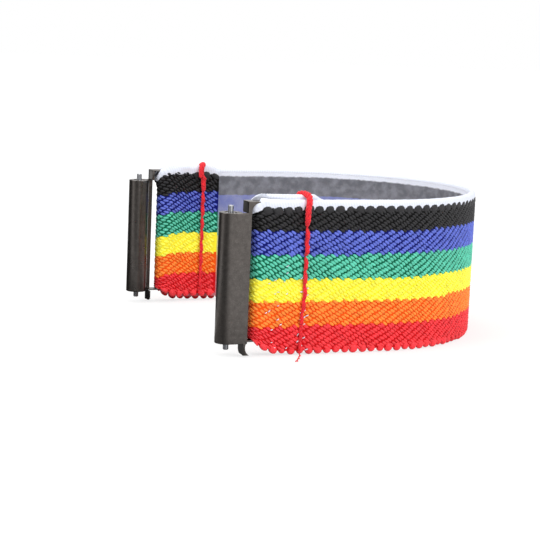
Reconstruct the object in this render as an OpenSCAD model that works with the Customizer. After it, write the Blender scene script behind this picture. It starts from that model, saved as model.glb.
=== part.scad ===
// Elastic woven watch band, closed into a loop, with a metal connector and a spring bar at each end.
// Units are millimetres. The band stands on the lower edge of its webbing. X runs from the spring bars
// to the round end of the loop, Y from the near spring bar to the far one, and Z up the webbing's width.

/* [Webbing] */
// Width of the webbing, which is its height as the band stands
webbing_w = 23.8; // [23.2:0.1:24.4]
// Thickness of one layer
webbing_t = 1.2; // [1.1:0.05:1.3]
// Height the webbing is gathered to above its middle, where it folds round the cross bar
fold_up = 10.8; // [10.5:0.1:10.9]
// Depth the webbing is gathered to below its middle, where the lower ear holds it higher
fold_low = 9.7; // [9.4:0.1:9.8]
// Number of square-cut rubber core threads in the weave
core_n = 9; // [5:2:9]
// Distance between core threads, which is also the stitch length of the hem
core_pitch = 2.2; // [2:0.05:2.25]
// Width across one core thread
core_t = 0.5; // [0.4:0.05:0.55]

/* [Loop] */
// Distance between the axes of the two spring bars
bar_spacing = 47.6; // [40:0.2:56]
// Length from a spring bar's axis to where the round end begins
straight_len = 24.9; // [20:0.1:40]
// Half angle of the middle of the round end, which holds its shape when the band is stretched
end_half_angle = 45; // [30:5:60]

/* [Hem] */
// Length of webbing turned back, from the plate's edge
hem_len = 12; // [11:0.5:13]
// Distance of the row of stitches from the plate's edge
stitch_x = 8.9; // [8.4:0.1:9.5]
// Slope of the turned-back layer down from the cross bar
hem_slope = 15; // [13:0.5:18]
// Radius of the hem thread on the face of the webbing
thread_r = 0.32; // [0.26:0.02:0.34]
// Depth the hem thread lies sunk in the webbing
thread_sink = 0.19; // [0.12:0.01:0.2]

/* [Connector] */
// Thickness of the sheet metal
sheet_t = 0.8; // [0.7:0.05:0.85]
// Height of the plate and its knuckle
plate_w = 19.8; // [19.4:0.1:19.9]
// Distance of the plate's free edge from the spring bar's axis
plate_edge = 2.8; // [2.7:0.05:3]
// Thickness of each ear's leg, which runs in from the plate's corner
ear_t = 0.6; // [0.5:0.05:0.7]
// Radius of the hollow under the upper ear's lip
lip_r = 1.2; // [1:0.05:1.3]
// Radius of the hollow beside the lower ear's claw
claw_r = 1.5; // [1.3:0.05:1.6]
// Distance of the cross bar's axis from the spring bar's axis
cross_x = 4.8; // [4.8:0.05:5.2]
// Radius of the cross bar
cross_r = 0.5; // [0.4:0.05:0.55]
// Angle past the X axis at which the rolled knuckle ends
roll_end = 25; // [15:1:26]

/* [Spring bar] */
// Radius of the tube
tube_r = 0.9; // [0.85:0.01:0.95]
// Radius inside the tube
tube_bore_r = 0.65; // [0.62:0.01:0.68]
// Half the length of the tube
tube_half = 8; // [7.6:0.1:8]
// Radius of a pin's tip, which enters a lug
tip_r = 0.425; // [0.35:0.025:0.45]
// Length of a pin's tip outside its flange
tip_l = 1.15; // [1:0.05:1.15]
// Radius of a pin's flange
flange_r = 0.75; // [0.7:0.01:0.78]
// Travel of each pin into the tube
pin_travel = 1.2; // [1.15:0.05:1.2]
// Turns of the coil spring
coil_turns = 18; // [12:1:20]
// Wire diameter of the coil spring
coil_wire = 0.2; // [0.16:0.01:0.2]

/* [Fits] */
// Radial clearance of each running fit
running_gap = 0.05; // [0.04:0.01:0.07]

/* [Hidden] */
$fn = 64;
eps = 0.01;
z_mid = webbing_w / 2;
bar_y = bar_spacing / 2;
bore_r = tube_r + running_gap;
knuckle_r = bore_r + sheet_t;
fold_in_r = cross_r + running_gap;
fold_mid_r = fold_in_r + webbing_t / 2;
fold_out_r = fold_in_r + webbing_t;
loop_r = bar_y + fold_mid_r;
x_min = -knuckle_r;
x_max = straight_len + loop_r + webbing_t / 2;
shift_x = -(x_min + x_max) / 2;
plate_half = plate_w / 2;
ear_out = webbing_w / 2 - 0.25;
lip_t = 0.35;
ear_in = ear_out - lip_t;
low_in = fold_low + 0.15;
low_out = low_in + lip_t;
claw_x = plate_edge - 0.33 + claw_r;
claw_z = low_out + 0.3;
ear_r = cross_r + lip_t;
hem_end = plate_edge + hem_len;
hem_body_end = hem_end + 0.7;
row_x = plate_edge + stitch_x;
narrow_x = cross_x + ear_r + 0.25;
wide_x = narrow_x + 0.7;
wide_low_x = narrow_x + 1.1;
cut = 3 * fold_out_r;
outer_y = -loop_r;
outer_face = outer_y - webbing_t / 2;
inner_y = outer_y + webbing_t;
inner_face = inner_y + webbing_t / 2;
slope_drop = fold_mid_r * cos(hem_slope) - (inner_y + bar_y);
slope_l = slope_drop / sin(hem_slope);
slope_start = [cross_x + fold_mid_r * sin(hem_slope), -bar_y + fold_mid_r * cos(hem_slope)];
slope_end = slope_start + slope_l * [cos(hem_slope), -sin(hem_slope)];
leg_n = core_n + 1;
leg_r = 0.22;
shank_r = 0.45;
crimp_t = 0.4;
flange_t = 0.55;
flange_in = tube_half + pin_travel + 0.05;
flange_out = flange_in + flange_t;
tip_end = flange_out + tip_l;
head_r = tube_bore_r - running_gap;
head_l = 0.6;
head_out = tube_half - crimp_t - 0.05;
head_in = head_out - head_l;
coil_r = head_r - 0.05 - coil_wire / 2;
coil_half = head_in;
coil_flat = 0.12;
coil_pitch = 2 * (coil_half - coil_flat) / coil_turns;
coil_gap = coil_pitch - coil_wire;

echo(coil_least_gap = coil_gap);
echo(coil_gap_pressed = coil_pitch - 2 * pin_travel / coil_turns - coil_wire);
echo(centreline_length = 2 * (straight_len - cross_x) + PI * loop_r);

// Places what is drawn about the near spring bar into the part's frame.
module near_side() {
    translate([shift_x, 0, z_mid]) children();
}

// Places the same thing mirrored on the far side.
module far_side() {
    translate([shift_x, 0, z_mid]) mirror([0, 1, 0]) children();
}

// Height of one core thread from the middle of the width.
function core_z(i) = (i - (core_n - 1) / 2) * core_pitch;

// Height of one leg of the hem stitches from the middle of the width.
function leg_z(i) = (i - (leg_n - 1) / 2) * core_pitch;

// Part of the round end from one angle on, of one thickness and width, about the middle of the webbing.
module round_end(from, angle, t, w) {
    translate([straight_len, 0, 0])
        rotate([0, 0, from])
            rotate_extrude(angle = angle, $fn = 128)
                translate([loop_r - t / 2, -w / 2])
                    square([t, w]);
}

// Core threads through the middle of the round end, drawn on past each end by an angle where they cut.
module loop_cores(past = 0) {
    translate([shift_x, 0, z_mid])
        for (i = [0 : core_n - 1])
            translate([0, 0, core_z(i)])
                round_end(-end_half_angle - past, 2 * (end_half_angle + past), core_t, core_t);
}

// Middle of the round end: one layer of webbing that keeps its shape.
module webbing_loop() {
    color("#4452cc")
        difference() {
            translate([shift_x, 0, z_mid])
                round_end(-end_half_angle, 2 * end_half_angle, webbing_t, webbing_w);
            loop_cores(past = 1);
        }
}

// One strip of a span, of one thickness and width: straight, then the start of the round end.
module span_strip(t, w) {
    translate([hem_body_end, outer_y - t / 2, -w / 2])
        cube([straight_len - hem_body_end, t, w]);
    round_end(-90, 90 - end_half_angle, t, w);
}

// Core threads through one span, about the near spring bar.
module span_cores() {
    for (i = [0 : core_n - 1])
        translate([0, 0, core_z(i)])
            span_strip(core_t, core_t);
}

// One span of webbing between the hem and the middle of the round end: the part that stretches.
module span() {
    difference() {
        span_strip(webbing_t, webbing_w);
        span_cores();
    }
}

// Plan of a strip of one thickness round the cross bar, along the middle of the webbing's thickness:
// the outer layer, the fold, the slope down to the outer layer, and the end of the turned-back layer.
module hem_plan(t) {
    m = t / 2 * tan(hem_slope / 2);
    n = [sin(hem_slope), cos(hem_slope)] * t / 2;
    translate([cross_x, outer_y - t / 2])
        square([hem_body_end - cross_x, t]);
    translate([cross_x, -bar_y])
        difference() {
            circle(r = fold_mid_r + t / 2);
            circle(r = fold_mid_r - t / 2);
            polygon([
                [0, 0], [0, -cut], [cut, -cut], [cut, cut], [cut * sin(hem_slope), cut * cos(hem_slope)]
            ]);
        }
    polygon([
        slope_start - n,
        slope_end - [m, t / 2],
        [hem_end, inner_y - t / 2],
        [hem_end, inner_y + t / 2],
        slope_end + [m, t / 2],
        slope_start + n
    ]);
}

// Core threads through the hem: along the outer layer, round the cross bar and back.
module hem_cores() {
    for (i = [0 : core_n - 1])
        translate([0, 0, core_z(i) - core_t / 2])
            linear_extrude(height = core_t)
                hem_plan(core_t);
}

// Hem of the webbing: the fold round the cross bar, gathered between the ears, and the two layers sewn together.
module hem() {
    h = webbing_w / 2;
    difference() {
        intersection() {
            translate([0, 0, -h])
                linear_extrude(height = webbing_w)
                    hem_plan(webbing_t);
            translate([0, -bar_y + cut, 0])
                rotate([90, 0, 0])
                    linear_extrude(height = 2 * cut)
                        polygon([
                            [0, -fold_low], [narrow_x, -fold_low], [wide_low_x, -h],
                            [hem_body_end + webbing_t, -h], [hem_body_end + webbing_t, h],
                            [wide_x, h], [narrow_x, fold_up], [0, fold_up]
                        ]);
        }
        hem_cores();
        hem_thread();
    }
}

// Row of stitches through both layers, with a last loop over the upper edge.
module hem_thread() {
    y_out = outer_face - thread_r + thread_sink;
    y_in = inner_face + thread_r - thread_sink;
    top = webbing_w / 2 + thread_r - thread_sink;
    last = leg_z(leg_n - 1);
    for (i = [0 : leg_n - 1])
        translate([row_x, y_out - 0.1, leg_z(i)])
            rotate([-90, 0, 0])
                cylinder(h = y_in - y_out + 0.2, r = leg_r, $fn = 24);
    for (y = [y_out, y_in])
        translate([row_x, y, leg_z(0) - 0.35])
            cylinder(h = top - leg_z(0) + 0.5, r = thread_r, $fn = 24);
    translate([row_x, y_out - 0.2, top])
        rotate([-90, 0, 0])
            cylinder(h = y_in - y_out + 0.4, r = thread_r - 0.02, $fn = 24);
}

// Plan of the sheet metal: the flat plate and the knuckle rolled round the spring bar.
module plate_plan() {
    past = 2 * knuckle_r;
    translate([0, -bar_y - knuckle_r])
        square([plate_edge, sheet_t]);
    translate([0, -bar_y])
        difference() {
            circle(r = knuckle_r);
            circle(r = bore_r);
            polygon([[0, 0], [0, -past], [past, -past], [past, -past * tan(roll_end)]]);
        }
}

// Plan of one ear's lip, from the leg over the webbing to the end of the cross bar.
module lip_plan() {
    a = [plate_edge, -bar_y - knuckle_r + ear_t];
    b = [plate_edge - ear_t, -bar_y + ear_r - 0.1];
    c = [cross_x, -bar_y];
    da = norm(c - a);
    db = norm(c - b);
    fa = atan2(c[1] - a[1], c[0] - a[0]) - asin(ear_r / da) - 90;
    fb = atan2(c[1] - b[1], c[0] - b[0]) + asin(ear_r / db) + 90;
    polygon([
        [plate_edge - ear_t, a[1]],
        a,
        c + ear_r * [cos(fa), sin(fa)],
        c,
        c + ear_r * [cos(fb), sin(fb)],
        b
    ]);
    translate(c)
        circle(r = ear_r, $fn = 48);
}

// Upper ear: its front with a hollow under the lip, the leg that runs in from it, and the lip itself.
module upper_ear() {
    translate([0, -bar_y - knuckle_r + ear_t, 0])
        rotate([90, 0, 0])
            linear_extrude(height = ear_t)
                difference() {
                    translate([plate_edge - ear_t, plate_half - eps])
                        square([ear_t + lip_r, ear_out - plate_half + eps]);
                    translate([plate_edge + lip_r, ear_in - lip_r])
                        circle(r = lip_r, $fn = 96);
                    translate([plate_edge, plate_half - lip_r])
                        square([2 * lip_r, ear_in - plate_half]);
                }
    translate([plate_edge - ear_t, -bar_y - knuckle_r, plate_half - eps])
        cube([ear_t, knuckle_r + ear_r - 0.1, ear_out - plate_half + eps]);
    translate([0, 0, ear_in])
        linear_extrude(height = lip_t)
            lip_plan();
}

// Lower ear: a claw whose front ends in a point past the hollow, its leg with a rounded heel, and a lip
// that sits higher than the claw, as the webbing is gathered further up here.
module lower_ear() {
    heel = ear_r;
    depth = knuckle_r + ear_r - 0.1;
    translate([0, -bar_y - knuckle_r + ear_t, 0])
        rotate([90, 0, 0])
            linear_extrude(height = ear_t)
                difference() {
                    translate([plate_edge - ear_t, -ear_out])
                        square([2 * ear_t, ear_out - plate_half + eps]);
                    translate([claw_x, -claw_z])
                        circle(r = claw_r, $fn = 96);
                }
    translate([plate_edge - ear_t, 0, 0])
        rotate([90, 0, 90])
            linear_extrude(height = ear_t)
                difference() {
                    translate([-bar_y - knuckle_r, -ear_out])
                        square([depth, ear_out - plate_half + eps]);
                    translate([-bar_y - knuckle_r + depth - heel, -ear_out + heel])
                        difference() {
                            translate([0, -2 * heel])
                                square(2 * heel);
                            circle(r = heel);
                        }
                }
    translate([0, 0, -low_out])
        linear_extrude(height = lip_t)
            lip_plan();
}

// One connector, about the near spring bar.
module connector() {
    color("#55524e")
        union() {
            translate([0, 0, -plate_half])
                linear_extrude(height = plate_w)
                    plate_plan();
            upper_ear();
            lower_ear();
            translate([cross_x, -bar_y, -low_in - eps])
                cylinder(h = low_in + ear_in + 2 * eps, r = cross_r, $fn = 48);
        }
}

// Tube of one spring bar: open inside, closed in at each end round the pin's shank.
module bar_tube() {
    hole_r = shank_r + running_gap;
    color("#b9bcc0")
        translate([0, -bar_y, 0])
            rotate_extrude($fn = 48)
                polygon([
                    [hole_r, -tube_half], [tube_r - 0.12, -tube_half], [tube_r, -tube_half + 0.12],
                    [tube_r, tube_half - 0.12], [tube_r - 0.12, tube_half], [hole_r, tube_half],
                    [hole_r, tube_half - crimp_t], [tube_bore_r, tube_half - crimp_t],
                    [tube_bore_r, -tube_half + crimp_t], [hole_r, -tube_half + crimp_t]
                ]);
}

// Upper pin of one spring bar: tip, flange, shank and head in one turned piece.
module bar_pin() {
    color("#c9ccd0")
        translate([0, -bar_y, 0])
            rotate_extrude($fn = 48)
                polygon([
                    [0, head_in], [head_r, head_in], [head_r, head_out], [shank_r, head_out],
                    [shank_r, flange_in], [flange_r, flange_in], [flange_r, flange_out],
                    [tip_r, flange_out], [tip_r, tip_end - 0.1], [tip_r - 0.1, tip_end], [0, tip_end]
                ]);
}

// Point on the middle of the coil spring's wire, t going from 0 to 1 from end to end.
function coil_point(t) = [
    coil_r * cos(360 * coil_turns * t),
    coil_r * sin(360 * coil_turns * t),
    (2 * t - 1) * (coil_half - coil_flat)
];

// Direction of the wire at the same point.
function coil_dir(t) =
    let (
        a = 360 * coil_turns * t,
        c = 2 * PI * coil_turns * coil_r,
        v = [-c * sin(a), c * cos(a), 2 * (coil_half - coil_flat)]
    )
    v / norm(v);

// Coil spring of one spring bar, one unbroken tube of wire.
module bar_spring() {
    rings = coil_turns * 8;
    sides = 6;
    w = coil_wire / 2;
    pts = [
        for (k = [0 : rings])
            let (
                t = k / rings,
                a = 360 * coil_turns * t,
                u = [cos(a), sin(a), 0],
                v = cross(coil_dir(t), u)
            )
            for (j = [0 : sides - 1])
                coil_point(t) + w * (cos(60 * j) * u + sin(60 * j) * v)
    ];
    walls = [
        for (k = [0 : rings - 1], j = [0 : sides - 1])
            let (
                p = k * sides + j,
                q = k * sides + (j + 1) % sides
            )
            for (f = [[p, p + sides, q], [q, p + sides, q + sides]])
                f
    ];
    first = [for (j = [1 : sides - 2]) [0, j, j + 1]];
    e = rings * sides;
    last = [for (j = [1 : sides - 2]) [e, e + j + 1, e + j]];
    color("#8f9399")
        translate([0, -bar_y, 0])
            polyhedron(points = pts, faces = concat(walls, first, last));
}

module webbing_near_span() {
    color("#4452cc") near_side() span();
}

module webbing_far_span() {
    color("#4452cc") far_side() span();
}

module webbing_near_hem() {
    color("#4452cc") near_side() hem();
}

module webbing_far_hem() {
    color("#4452cc") far_side() hem();
}

module cores_loop() {
    color("#e9e4d8") loop_cores();
}

module cores_near_span() {
    color("#e9e4d8") near_side() span_cores();
}

module cores_far_span() {
    color("#e9e4d8") far_side() span_cores();
}

module cores_near_hem() {
    color("#e9e4d8") near_side() hem_cores();
}

module cores_far_hem() {
    color("#e9e4d8") far_side() hem_cores();
}

module near_connector() {
    near_side() connector();
}

module far_connector() {
    far_side() connector();
}

module near_hem_thread() {
    color("#c8202f") near_side() hem_thread();
}

module far_hem_thread() {
    color("#c8202f") far_side() hem_thread();
}

module near_bar_tube() {
    near_side() bar_tube();
}

module far_bar_tube() {
    far_side() bar_tube();
}

module near_bar_spring() {
    near_side() bar_spring();
}

module far_bar_spring() {
    far_side() bar_spring();
}

module near_upper_pin() {
    near_side() bar_pin();
}

module near_lower_pin() {
    near_side() mirror([0, 0, 1]) bar_pin();
}

module far_upper_pin() {
    far_side() bar_pin();
}

module far_lower_pin() {
    far_side() mirror([0, 0, 1]) bar_pin();
}

webbing_loop();
webbing_near_span();
webbing_far_span();
webbing_near_hem();
webbing_far_hem();
cores_loop();
cores_near_span();
cores_far_span();
cores_near_hem();
cores_far_hem();
near_connector();
far_connector();
near_hem_thread();
far_hem_thread();
near_bar_tube();
near_bar_spring();
near_upper_pin();
near_lower_pin();
far_bar_tube();
far_bar_spring();
far_upper_pin();
far_lower_pin();
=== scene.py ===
"""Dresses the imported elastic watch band: woven webbing, hem threads, connectors and spring bars."""
import logging
import math
from collections.abc import Iterator
from contextlib import contextmanager
from dataclasses import dataclass
from enum import Enum

import bpy
import numpy as np
from mathutils import Matrix, Vector


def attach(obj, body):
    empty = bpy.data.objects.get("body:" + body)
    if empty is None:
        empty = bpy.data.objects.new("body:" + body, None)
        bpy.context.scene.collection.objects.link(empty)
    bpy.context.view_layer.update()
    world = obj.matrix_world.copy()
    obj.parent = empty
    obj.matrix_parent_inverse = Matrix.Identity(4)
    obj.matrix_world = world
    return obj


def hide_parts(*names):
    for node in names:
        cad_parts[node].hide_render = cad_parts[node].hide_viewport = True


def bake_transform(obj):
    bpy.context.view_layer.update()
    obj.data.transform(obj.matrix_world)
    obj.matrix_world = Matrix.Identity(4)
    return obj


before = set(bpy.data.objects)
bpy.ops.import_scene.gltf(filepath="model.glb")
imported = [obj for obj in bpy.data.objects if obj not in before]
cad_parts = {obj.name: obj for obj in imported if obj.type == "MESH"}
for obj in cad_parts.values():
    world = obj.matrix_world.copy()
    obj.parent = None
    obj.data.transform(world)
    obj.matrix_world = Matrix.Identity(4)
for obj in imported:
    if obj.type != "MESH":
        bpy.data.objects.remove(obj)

log = logging.getLogger("watch_band")

MM = 0.001
FRAME_PX = 540
WHITE = (1.0, 1.0, 1.0, 1.0)
Pairs = tuple[tuple[float, float], ...]
Triples = tuple[tuple[float, float, float], ...]


class Side(Enum):
    """The two mirrored ends of the band, by the sign of Y."""

    NEAR = -1
    FAR = 1

    @property
    def word(self) -> str:
        """Name that bodies and pieces of this side start with."""
        return "near" if self is Side.NEAR else "far"


@dataclass(frozen=True)
class BandSizes:
    """Sizes of the band in millimetres, as in the part's source but for the ears' lip, hollow and claw."""

    shift_x: float = -24.35
    mid_z: float = 11.9
    webbing_w: float = 23.8
    webbing_t: float = 1.2
    bar_y: float = 23.8
    straight_len: float = 24.9
    cross_x: float = 4.8
    cross_r: float = 0.5
    fit: float = 0.05
    hem_end: float = 14.8
    hem_body_end: float = 15.5
    hem_slope: float = math.radians(15.0)
    row_x: float = 11.7
    plate_edge: float = 2.8
    plate_half: float = 9.9
    sheet_t: float = 0.8
    knuckle_r: float = 1.75
    ear_t: float = 0.6
    ear_in: float = 11.3
    ear_out: float = 11.65
    low_in: float = 9.85
    lip_r: float = 0.85
    hollow_r: float = 1.3
    claw_r: float = 1.4
    claw_x: float = 3.88
    claw_z: float = 10.45
    end_half_angle: float = math.radians(45.0)
    core_pitch: float = 2.2
    core_t: float = 0.5
    core_n: int = 9

    @property
    def half_w(self) -> float:
        """Half the webbing's width."""
        return self.webbing_w / 2

    @property
    def fold_mid(self) -> float:
        """Radius of the webbing's middle round the cross bar."""
        return self.cross_r + self.fit + self.webbing_t / 2

    @property
    def loop_r(self) -> float:
        """Radius of the webbing's middle at the round end."""
        return self.bar_y + self.fold_mid


SIZES = BandSizes()


def in_frame(x: float, y: float, z: float) -> tuple[float, float, float]:
    """Turns millimetres from between the spring bars at mid-height into metres in the frame."""
    return ((x + SIZES.shift_x) * MM, y * MM, (z + SIZES.mid_z) * MM)


def linear(hex_colour: str) -> tuple[float, float, float, float]:
    """Turns an sRGB hex value into a linear colour.

    Args:
        hex_colour: six hex digits, with or without a leading hash.

    Returns:
        Linear red, green, blue and an alpha of 1.
    """
    digits = hex_colour.lstrip("#")
    out = []
    for k in (0, 2, 4):
        c = int(digits[k:k + 2], 16) / 255
        out.append(c / 12.92 if c <= 0.04045 else ((c + 0.055) / 1.055) ** 2.4)
    return (out[0], out[1], out[2], 1.0)


def read(table: Pairs, at: np.ndarray | float) -> np.ndarray:
    """Reads a line, given by its corners, at some places."""
    return np.interp(at, [row[0] for row in table], [row[1] for row in table])


def smoothstep(x: np.ndarray, low: float, high: float) -> np.ndarray:
    """Smooth step of an array from low to high, as 0 to 1."""
    t = np.clip((x - low) / (high - low), 0.0, 1.0)
    return t * t * (3 - 2 * t)


def sway(waves: Triples, x: np.ndarray, v: np.ndarray) -> np.ndarray:
    """Adds up slow waves at places along and up."""
    return sum(far * np.sin(along * x + up * v) for far, along, up in waves)


class Nodes:
    """The nodes of one tree."""

    def __init__(self, tree: bpy.types.NodeTree) -> None:
        """Keeps the tree that the nodes go into."""
        self.tree = tree

    def add(self, kind: str, inputs: dict | tuple | list = (), **settings: object) -> bpy.types.Node:
        """Adds one node with its settings and links.

        Args:
            kind: Blender's name of the node type, less its first word.
            inputs: values in the order of the sockets, or by socket name or number. An output socket is
                linked from, and so is the first output of a node.
            **settings: attributes to set on the node.

        Returns:
            The new node.
        """
        node = self.tree.nodes.new("ShaderNode" + kind)
        for name, value in settings.items():
            setattr(node, name, value)
        self.fill(node, inputs if isinstance(inputs, dict) else dict(enumerate(inputs)))
        return node

    def fill(self, node: bpy.types.Node, inputs: dict) -> None:
        """Sets a node's inputs.

        Args:
            node: node to set.
            inputs: socket name or number to a value, an output socket or a node.
        """
        for name, value in inputs.items():
            if isinstance(value, bpy.types.Node):
                value = value.outputs[0]
            if isinstance(value, bpy.types.NodeSocket):
                self.tree.links.new(value, node.inputs[name])
            else:
                node.inputs[name].default_value = value


class Surface(Nodes):
    """A new material, its nodes and what its shader shows."""

    def __init__(self, name: str) -> None:
        """Makes the material under its name."""
        self.material = bpy.data.materials.new(name)
        self.material.use_nodes = True
        super().__init__(self.material.node_tree)

    def show(self, inputs: dict, relief: tuple[float, float, object] | None = None) -> bpy.types.Material:
        """Sets the shader's inputs and gives the surface its fine relief.

        Args:
            inputs: the shader's socket names to values, sockets or nodes.
            relief: strength, depth in millimetres, and the socket or node with the height.

        Returns:
            The material.
        """
        shader = self.tree.nodes["Principled BSDF"]
        self.fill(shader, inputs)
        if relief:
            strength, depth, height = relief
            bump = self.add("Bump", {"Strength": strength, "Distance": depth * MM, "Height": height})
            self.fill(shader, {"Normal": bump})
        return self.material


@dataclass(frozen=True)
class Weave:
    """Steep twill of the webbing: slanted floats set in rising rows, with real spacings in millimetres."""

    rib_len: float = 1.75
    rows: float = 22.3
    lines_along: float = 2.05
    lines_up: float = 2.06
    half_len: float = 0.6
    half_wid: float = 0.25
    rise: float = 0.27
    dive: float = 0.2
    ground: float = 0.4
    slack: float = 0.86
    tight: float = 1.12
    turn_at: float = 43.0
    turn_over: float = 6.0
    len_share: Pairs = ((34.0, 0.9), (46.0, 1.06))
    drawn_len: float = 4.5
    drawn_wid: float = 0.86
    drawn_rise: float = 0.72
    press_wid: float = 0.45
    press_deep: float = 0.12
    press_flat: float = 0.45
    # Slow waves of the rows: how far they go, and their angle for each millimetre along and up.
    along_sway: Triples = ((0.07, 0.37, 1.1), (0.05, 2.3, -0.8))
    up_sway: Triples = ((0.05, 0.9, 0.6),)
    turn_sway: Triples = ((0.1, 0.8, 1.1),)
    seed: int = 7

    @property
    def row_h(self) -> float:
        """Height of one row up the webbing's width."""
        return SIZES.webbing_w / self.rows

    @property
    def slant(self) -> float:
        """Angle at which a float falls to the right, on the face seen from outside the loop."""
        return math.atan2(self.lines_along / self.rib_len, self.lines_up / self.row_h)

    def drawn(self, along: np.ndarray) -> np.ndarray:
        """Moves places on the even weave to where the stretch puts them, closer together at the round end."""
        past = self.turn_over * np.log1p(np.exp((np.abs(along) - self.turn_at) / self.turn_over))
        return np.sign(along) * (self.slack * np.abs(along) + (self.tight - self.slack) * past)

    def centres(self, across: tuple[float, float], up: tuple[float, float]) -> np.ndarray:
        """Finds the middles of the floats, where the rows cross the slanted lines.

        Args:
            across: least and greatest place along the webbing, to the right as seen from outside.
            up: least and greatest height from the middle of the width.

        Returns:
            An array of places along and up.
        """
        m, n = self.lines_along, self.lines_up
        wide = (min(across[0], 0.0) / self.slack - 1, max(across[1], 0.0) / self.slack + 1)
        row = np.arange(math.floor(up[0] / self.row_h - wide[1] / self.rib_len),
                        math.ceil(up[1] / self.row_h - wide[0] / self.rib_len) + 1)[:, None]
        line = np.arange(math.floor(m * wide[0] / self.rib_len + n * up[0] / self.row_h),
                         math.ceil(m * wide[1] / self.rib_len + n * up[1] / self.row_h) + 1)[None, :]
        a = (line - n * row) / (m + n)
        x, v = self.drawn(a * self.rib_len), (a + row) * self.row_h
        keep = (x >= across[0]) & (x < across[1]) & (v > up[0]) & (v < up[1])
        return np.stack([x[keep], v[keep]], axis=-1)


WEAVE = Weave()


@dataclass(frozen=True)
class Stripe:
    """One colour of yarn, from the upper edge down, and a darker colour painted in as the shade deep in its
    gaps.
    """

    name: str
    width: float
    colour: str
    # Painted shade: the darker colour stands in for the shade in the gaps and where the floats dive.
    shade: str


STRIPES = (
    Stripe("white", 0.95, "#E3E7F3", "#B9C0D2"),
    Stripe("black", 3.86, "#1F1E21", "#030303"),
    Stripe("blue", 3.58, "#5F70D2", "#08126A"),
    Stripe("green", 3.76, "#5CCCAE", "#046447"),
    Stripe("yellow", 3.47, "#FFFA52", "#F8EA34"),
    Stripe("orange", 3.72, "#FF8C2F", "#EA5606"),
    Stripe("red", 4.46, "#F6363F", "#C80811"),
)


def stripe_bounds() -> list[float]:
    """Works out the lower boundary of each stripe.

    Returns:
        Heights in millimetres from the middle of the width.
    """
    edge = SIZES.half_w
    out = []
    for stripe in STRIPES:
        edge -= stripe.width
        out.append(edge)
    return out


BOUNDS = stripe_bounds()


@dataclass(frozen=True)
class Spread:
    """How unevenly yarns lie: millimetres along and up, radians, and shares of their three sizes."""

    along: float
    up: float
    turn: float
    length: float
    width: float = 0.05
    height: float = 0.07


@dataclass(frozen=True)
class EdgeRow:
    """Round mounds or knobs where the yarns turn back at one edge, in millimetres."""

    word: str
    height: float
    spacing: float
    half_len: float
    half_wid: float
    rise: float
    level: float
    lean: float = 0.15


FLOAT_SPREAD = Spread(0.025, 0.02, 0.07, 0.05)
EDGE_SPREAD = Spread(0.05, 0.03, 0.08, 0.06)
MOUNDS = EdgeRow("mounds", BOUNDS[0] - 0.45, 1.68, 0.64, 0.74, 0.22, WEAVE.ground + 0.03)
KNOBS = EdgeRow("knobs", -SIZES.half_w + 0.8, 1.5, 0.74, 0.68, 0.6, 0.02)


@dataclass(frozen=True)
class CoverBits:
    """Short bits of white core cover, in millimetres from the fold and from the middle of the width."""

    reach: tuple[float, float] = (9.5, 0.3)
    heights: tuple[float, float] = (-11.0, 3.4)
    beside: tuple[float, float] = (0.48, -0.16)
    by_fold: float = 4.5
    fold_share: float = 0.16
    by_thread: tuple[float, float] = (6.2, 7.7)
    thread_top: float = 0.5
    thread_share: float = 0.45
    size: tuple[float, float, float] = (0.2, 0.075, 0.09)
    size_spread: float = 0.15
    long_from: float = 5.0
    longer: float = 1.4
    turn: float = 0.45
    turn_spread: float = 0.25
    proud: float = 0.15


BITS = CoverBits()


@dataclass(frozen=True)
class WovenYarn:
    """Textured polyester yarn of one colour: matt and fuzzy, with painted shade where it dives."""

    stripe: Stripe
    roughness: float = 0.6
    fibres: float = 16.0
    twist: float = 0.25
    dark: float = 0.78
    uneven: float = 0.22
    hairy: float = 0.2

    def make(self, name: str) -> bpy.types.Material:
        """Builds the material, reading each float's own "fibre" and "tone" attributes in millimetres.

        Args:
            name: name of the material.

        Returns:
            The material.
        """
        m = Surface(name)
        fibre = m.add("Attribute", attribute_name="fibre").outputs["Vector"]
        tone = m.add("Attribute", attribute_name="tone").outputs["Fac"]
        along, across, up = m.add("SeparateXYZ", (fibre,)).outputs
        # Single fibres lie along the float, about 0.06 mm apart, with a little twist.
        lane = m.add("Math", (along, self.twist, across), operation="MULTIPLY_ADD")
        scaled = [m.add("Math", (part, scale), operation="MULTIPLY")
                  for part, scale in ((along, 2.0), (lane, self.fibres), (tone, 40.0))]
        hair = m.add("TexNoise", {"Vector": m.add("CombineXYZ", scaled), "Scale": 1.0, "Detail": 2.0})
        # Painted shade: low on each float, where it dives under its neighbours, the colour turns to the
        # stripe's shade colour.
        deep = m.add("MapRange", (up, 0.55, -0.05), interpolation_type="SMOOTHSTEP")
        colour = m.add("Mix", {0: deep, 6: linear(self.stripe.colour), 7: linear(self.stripe.shade)},
                       data_type="RGBA").outputs[2]
        level = m.add("Math", (tone, self.uneven, self.dark), operation="MULTIPLY_ADD")
        level = m.add("Math", (hair, self.hairy, level), operation="MULTIPLY_ADD")
        shown = m.add("VectorMath", {0: colour, "Scale": level}, operation="SCALE")
        return m.show({"Base Color": shown, "Roughness": self.roughness, "Specular IOR Level": 0.4,
                       "Sheen Weight": 0.05, "Sheen Roughness": 0.5}, (0.35, 0.03, hair))


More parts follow.
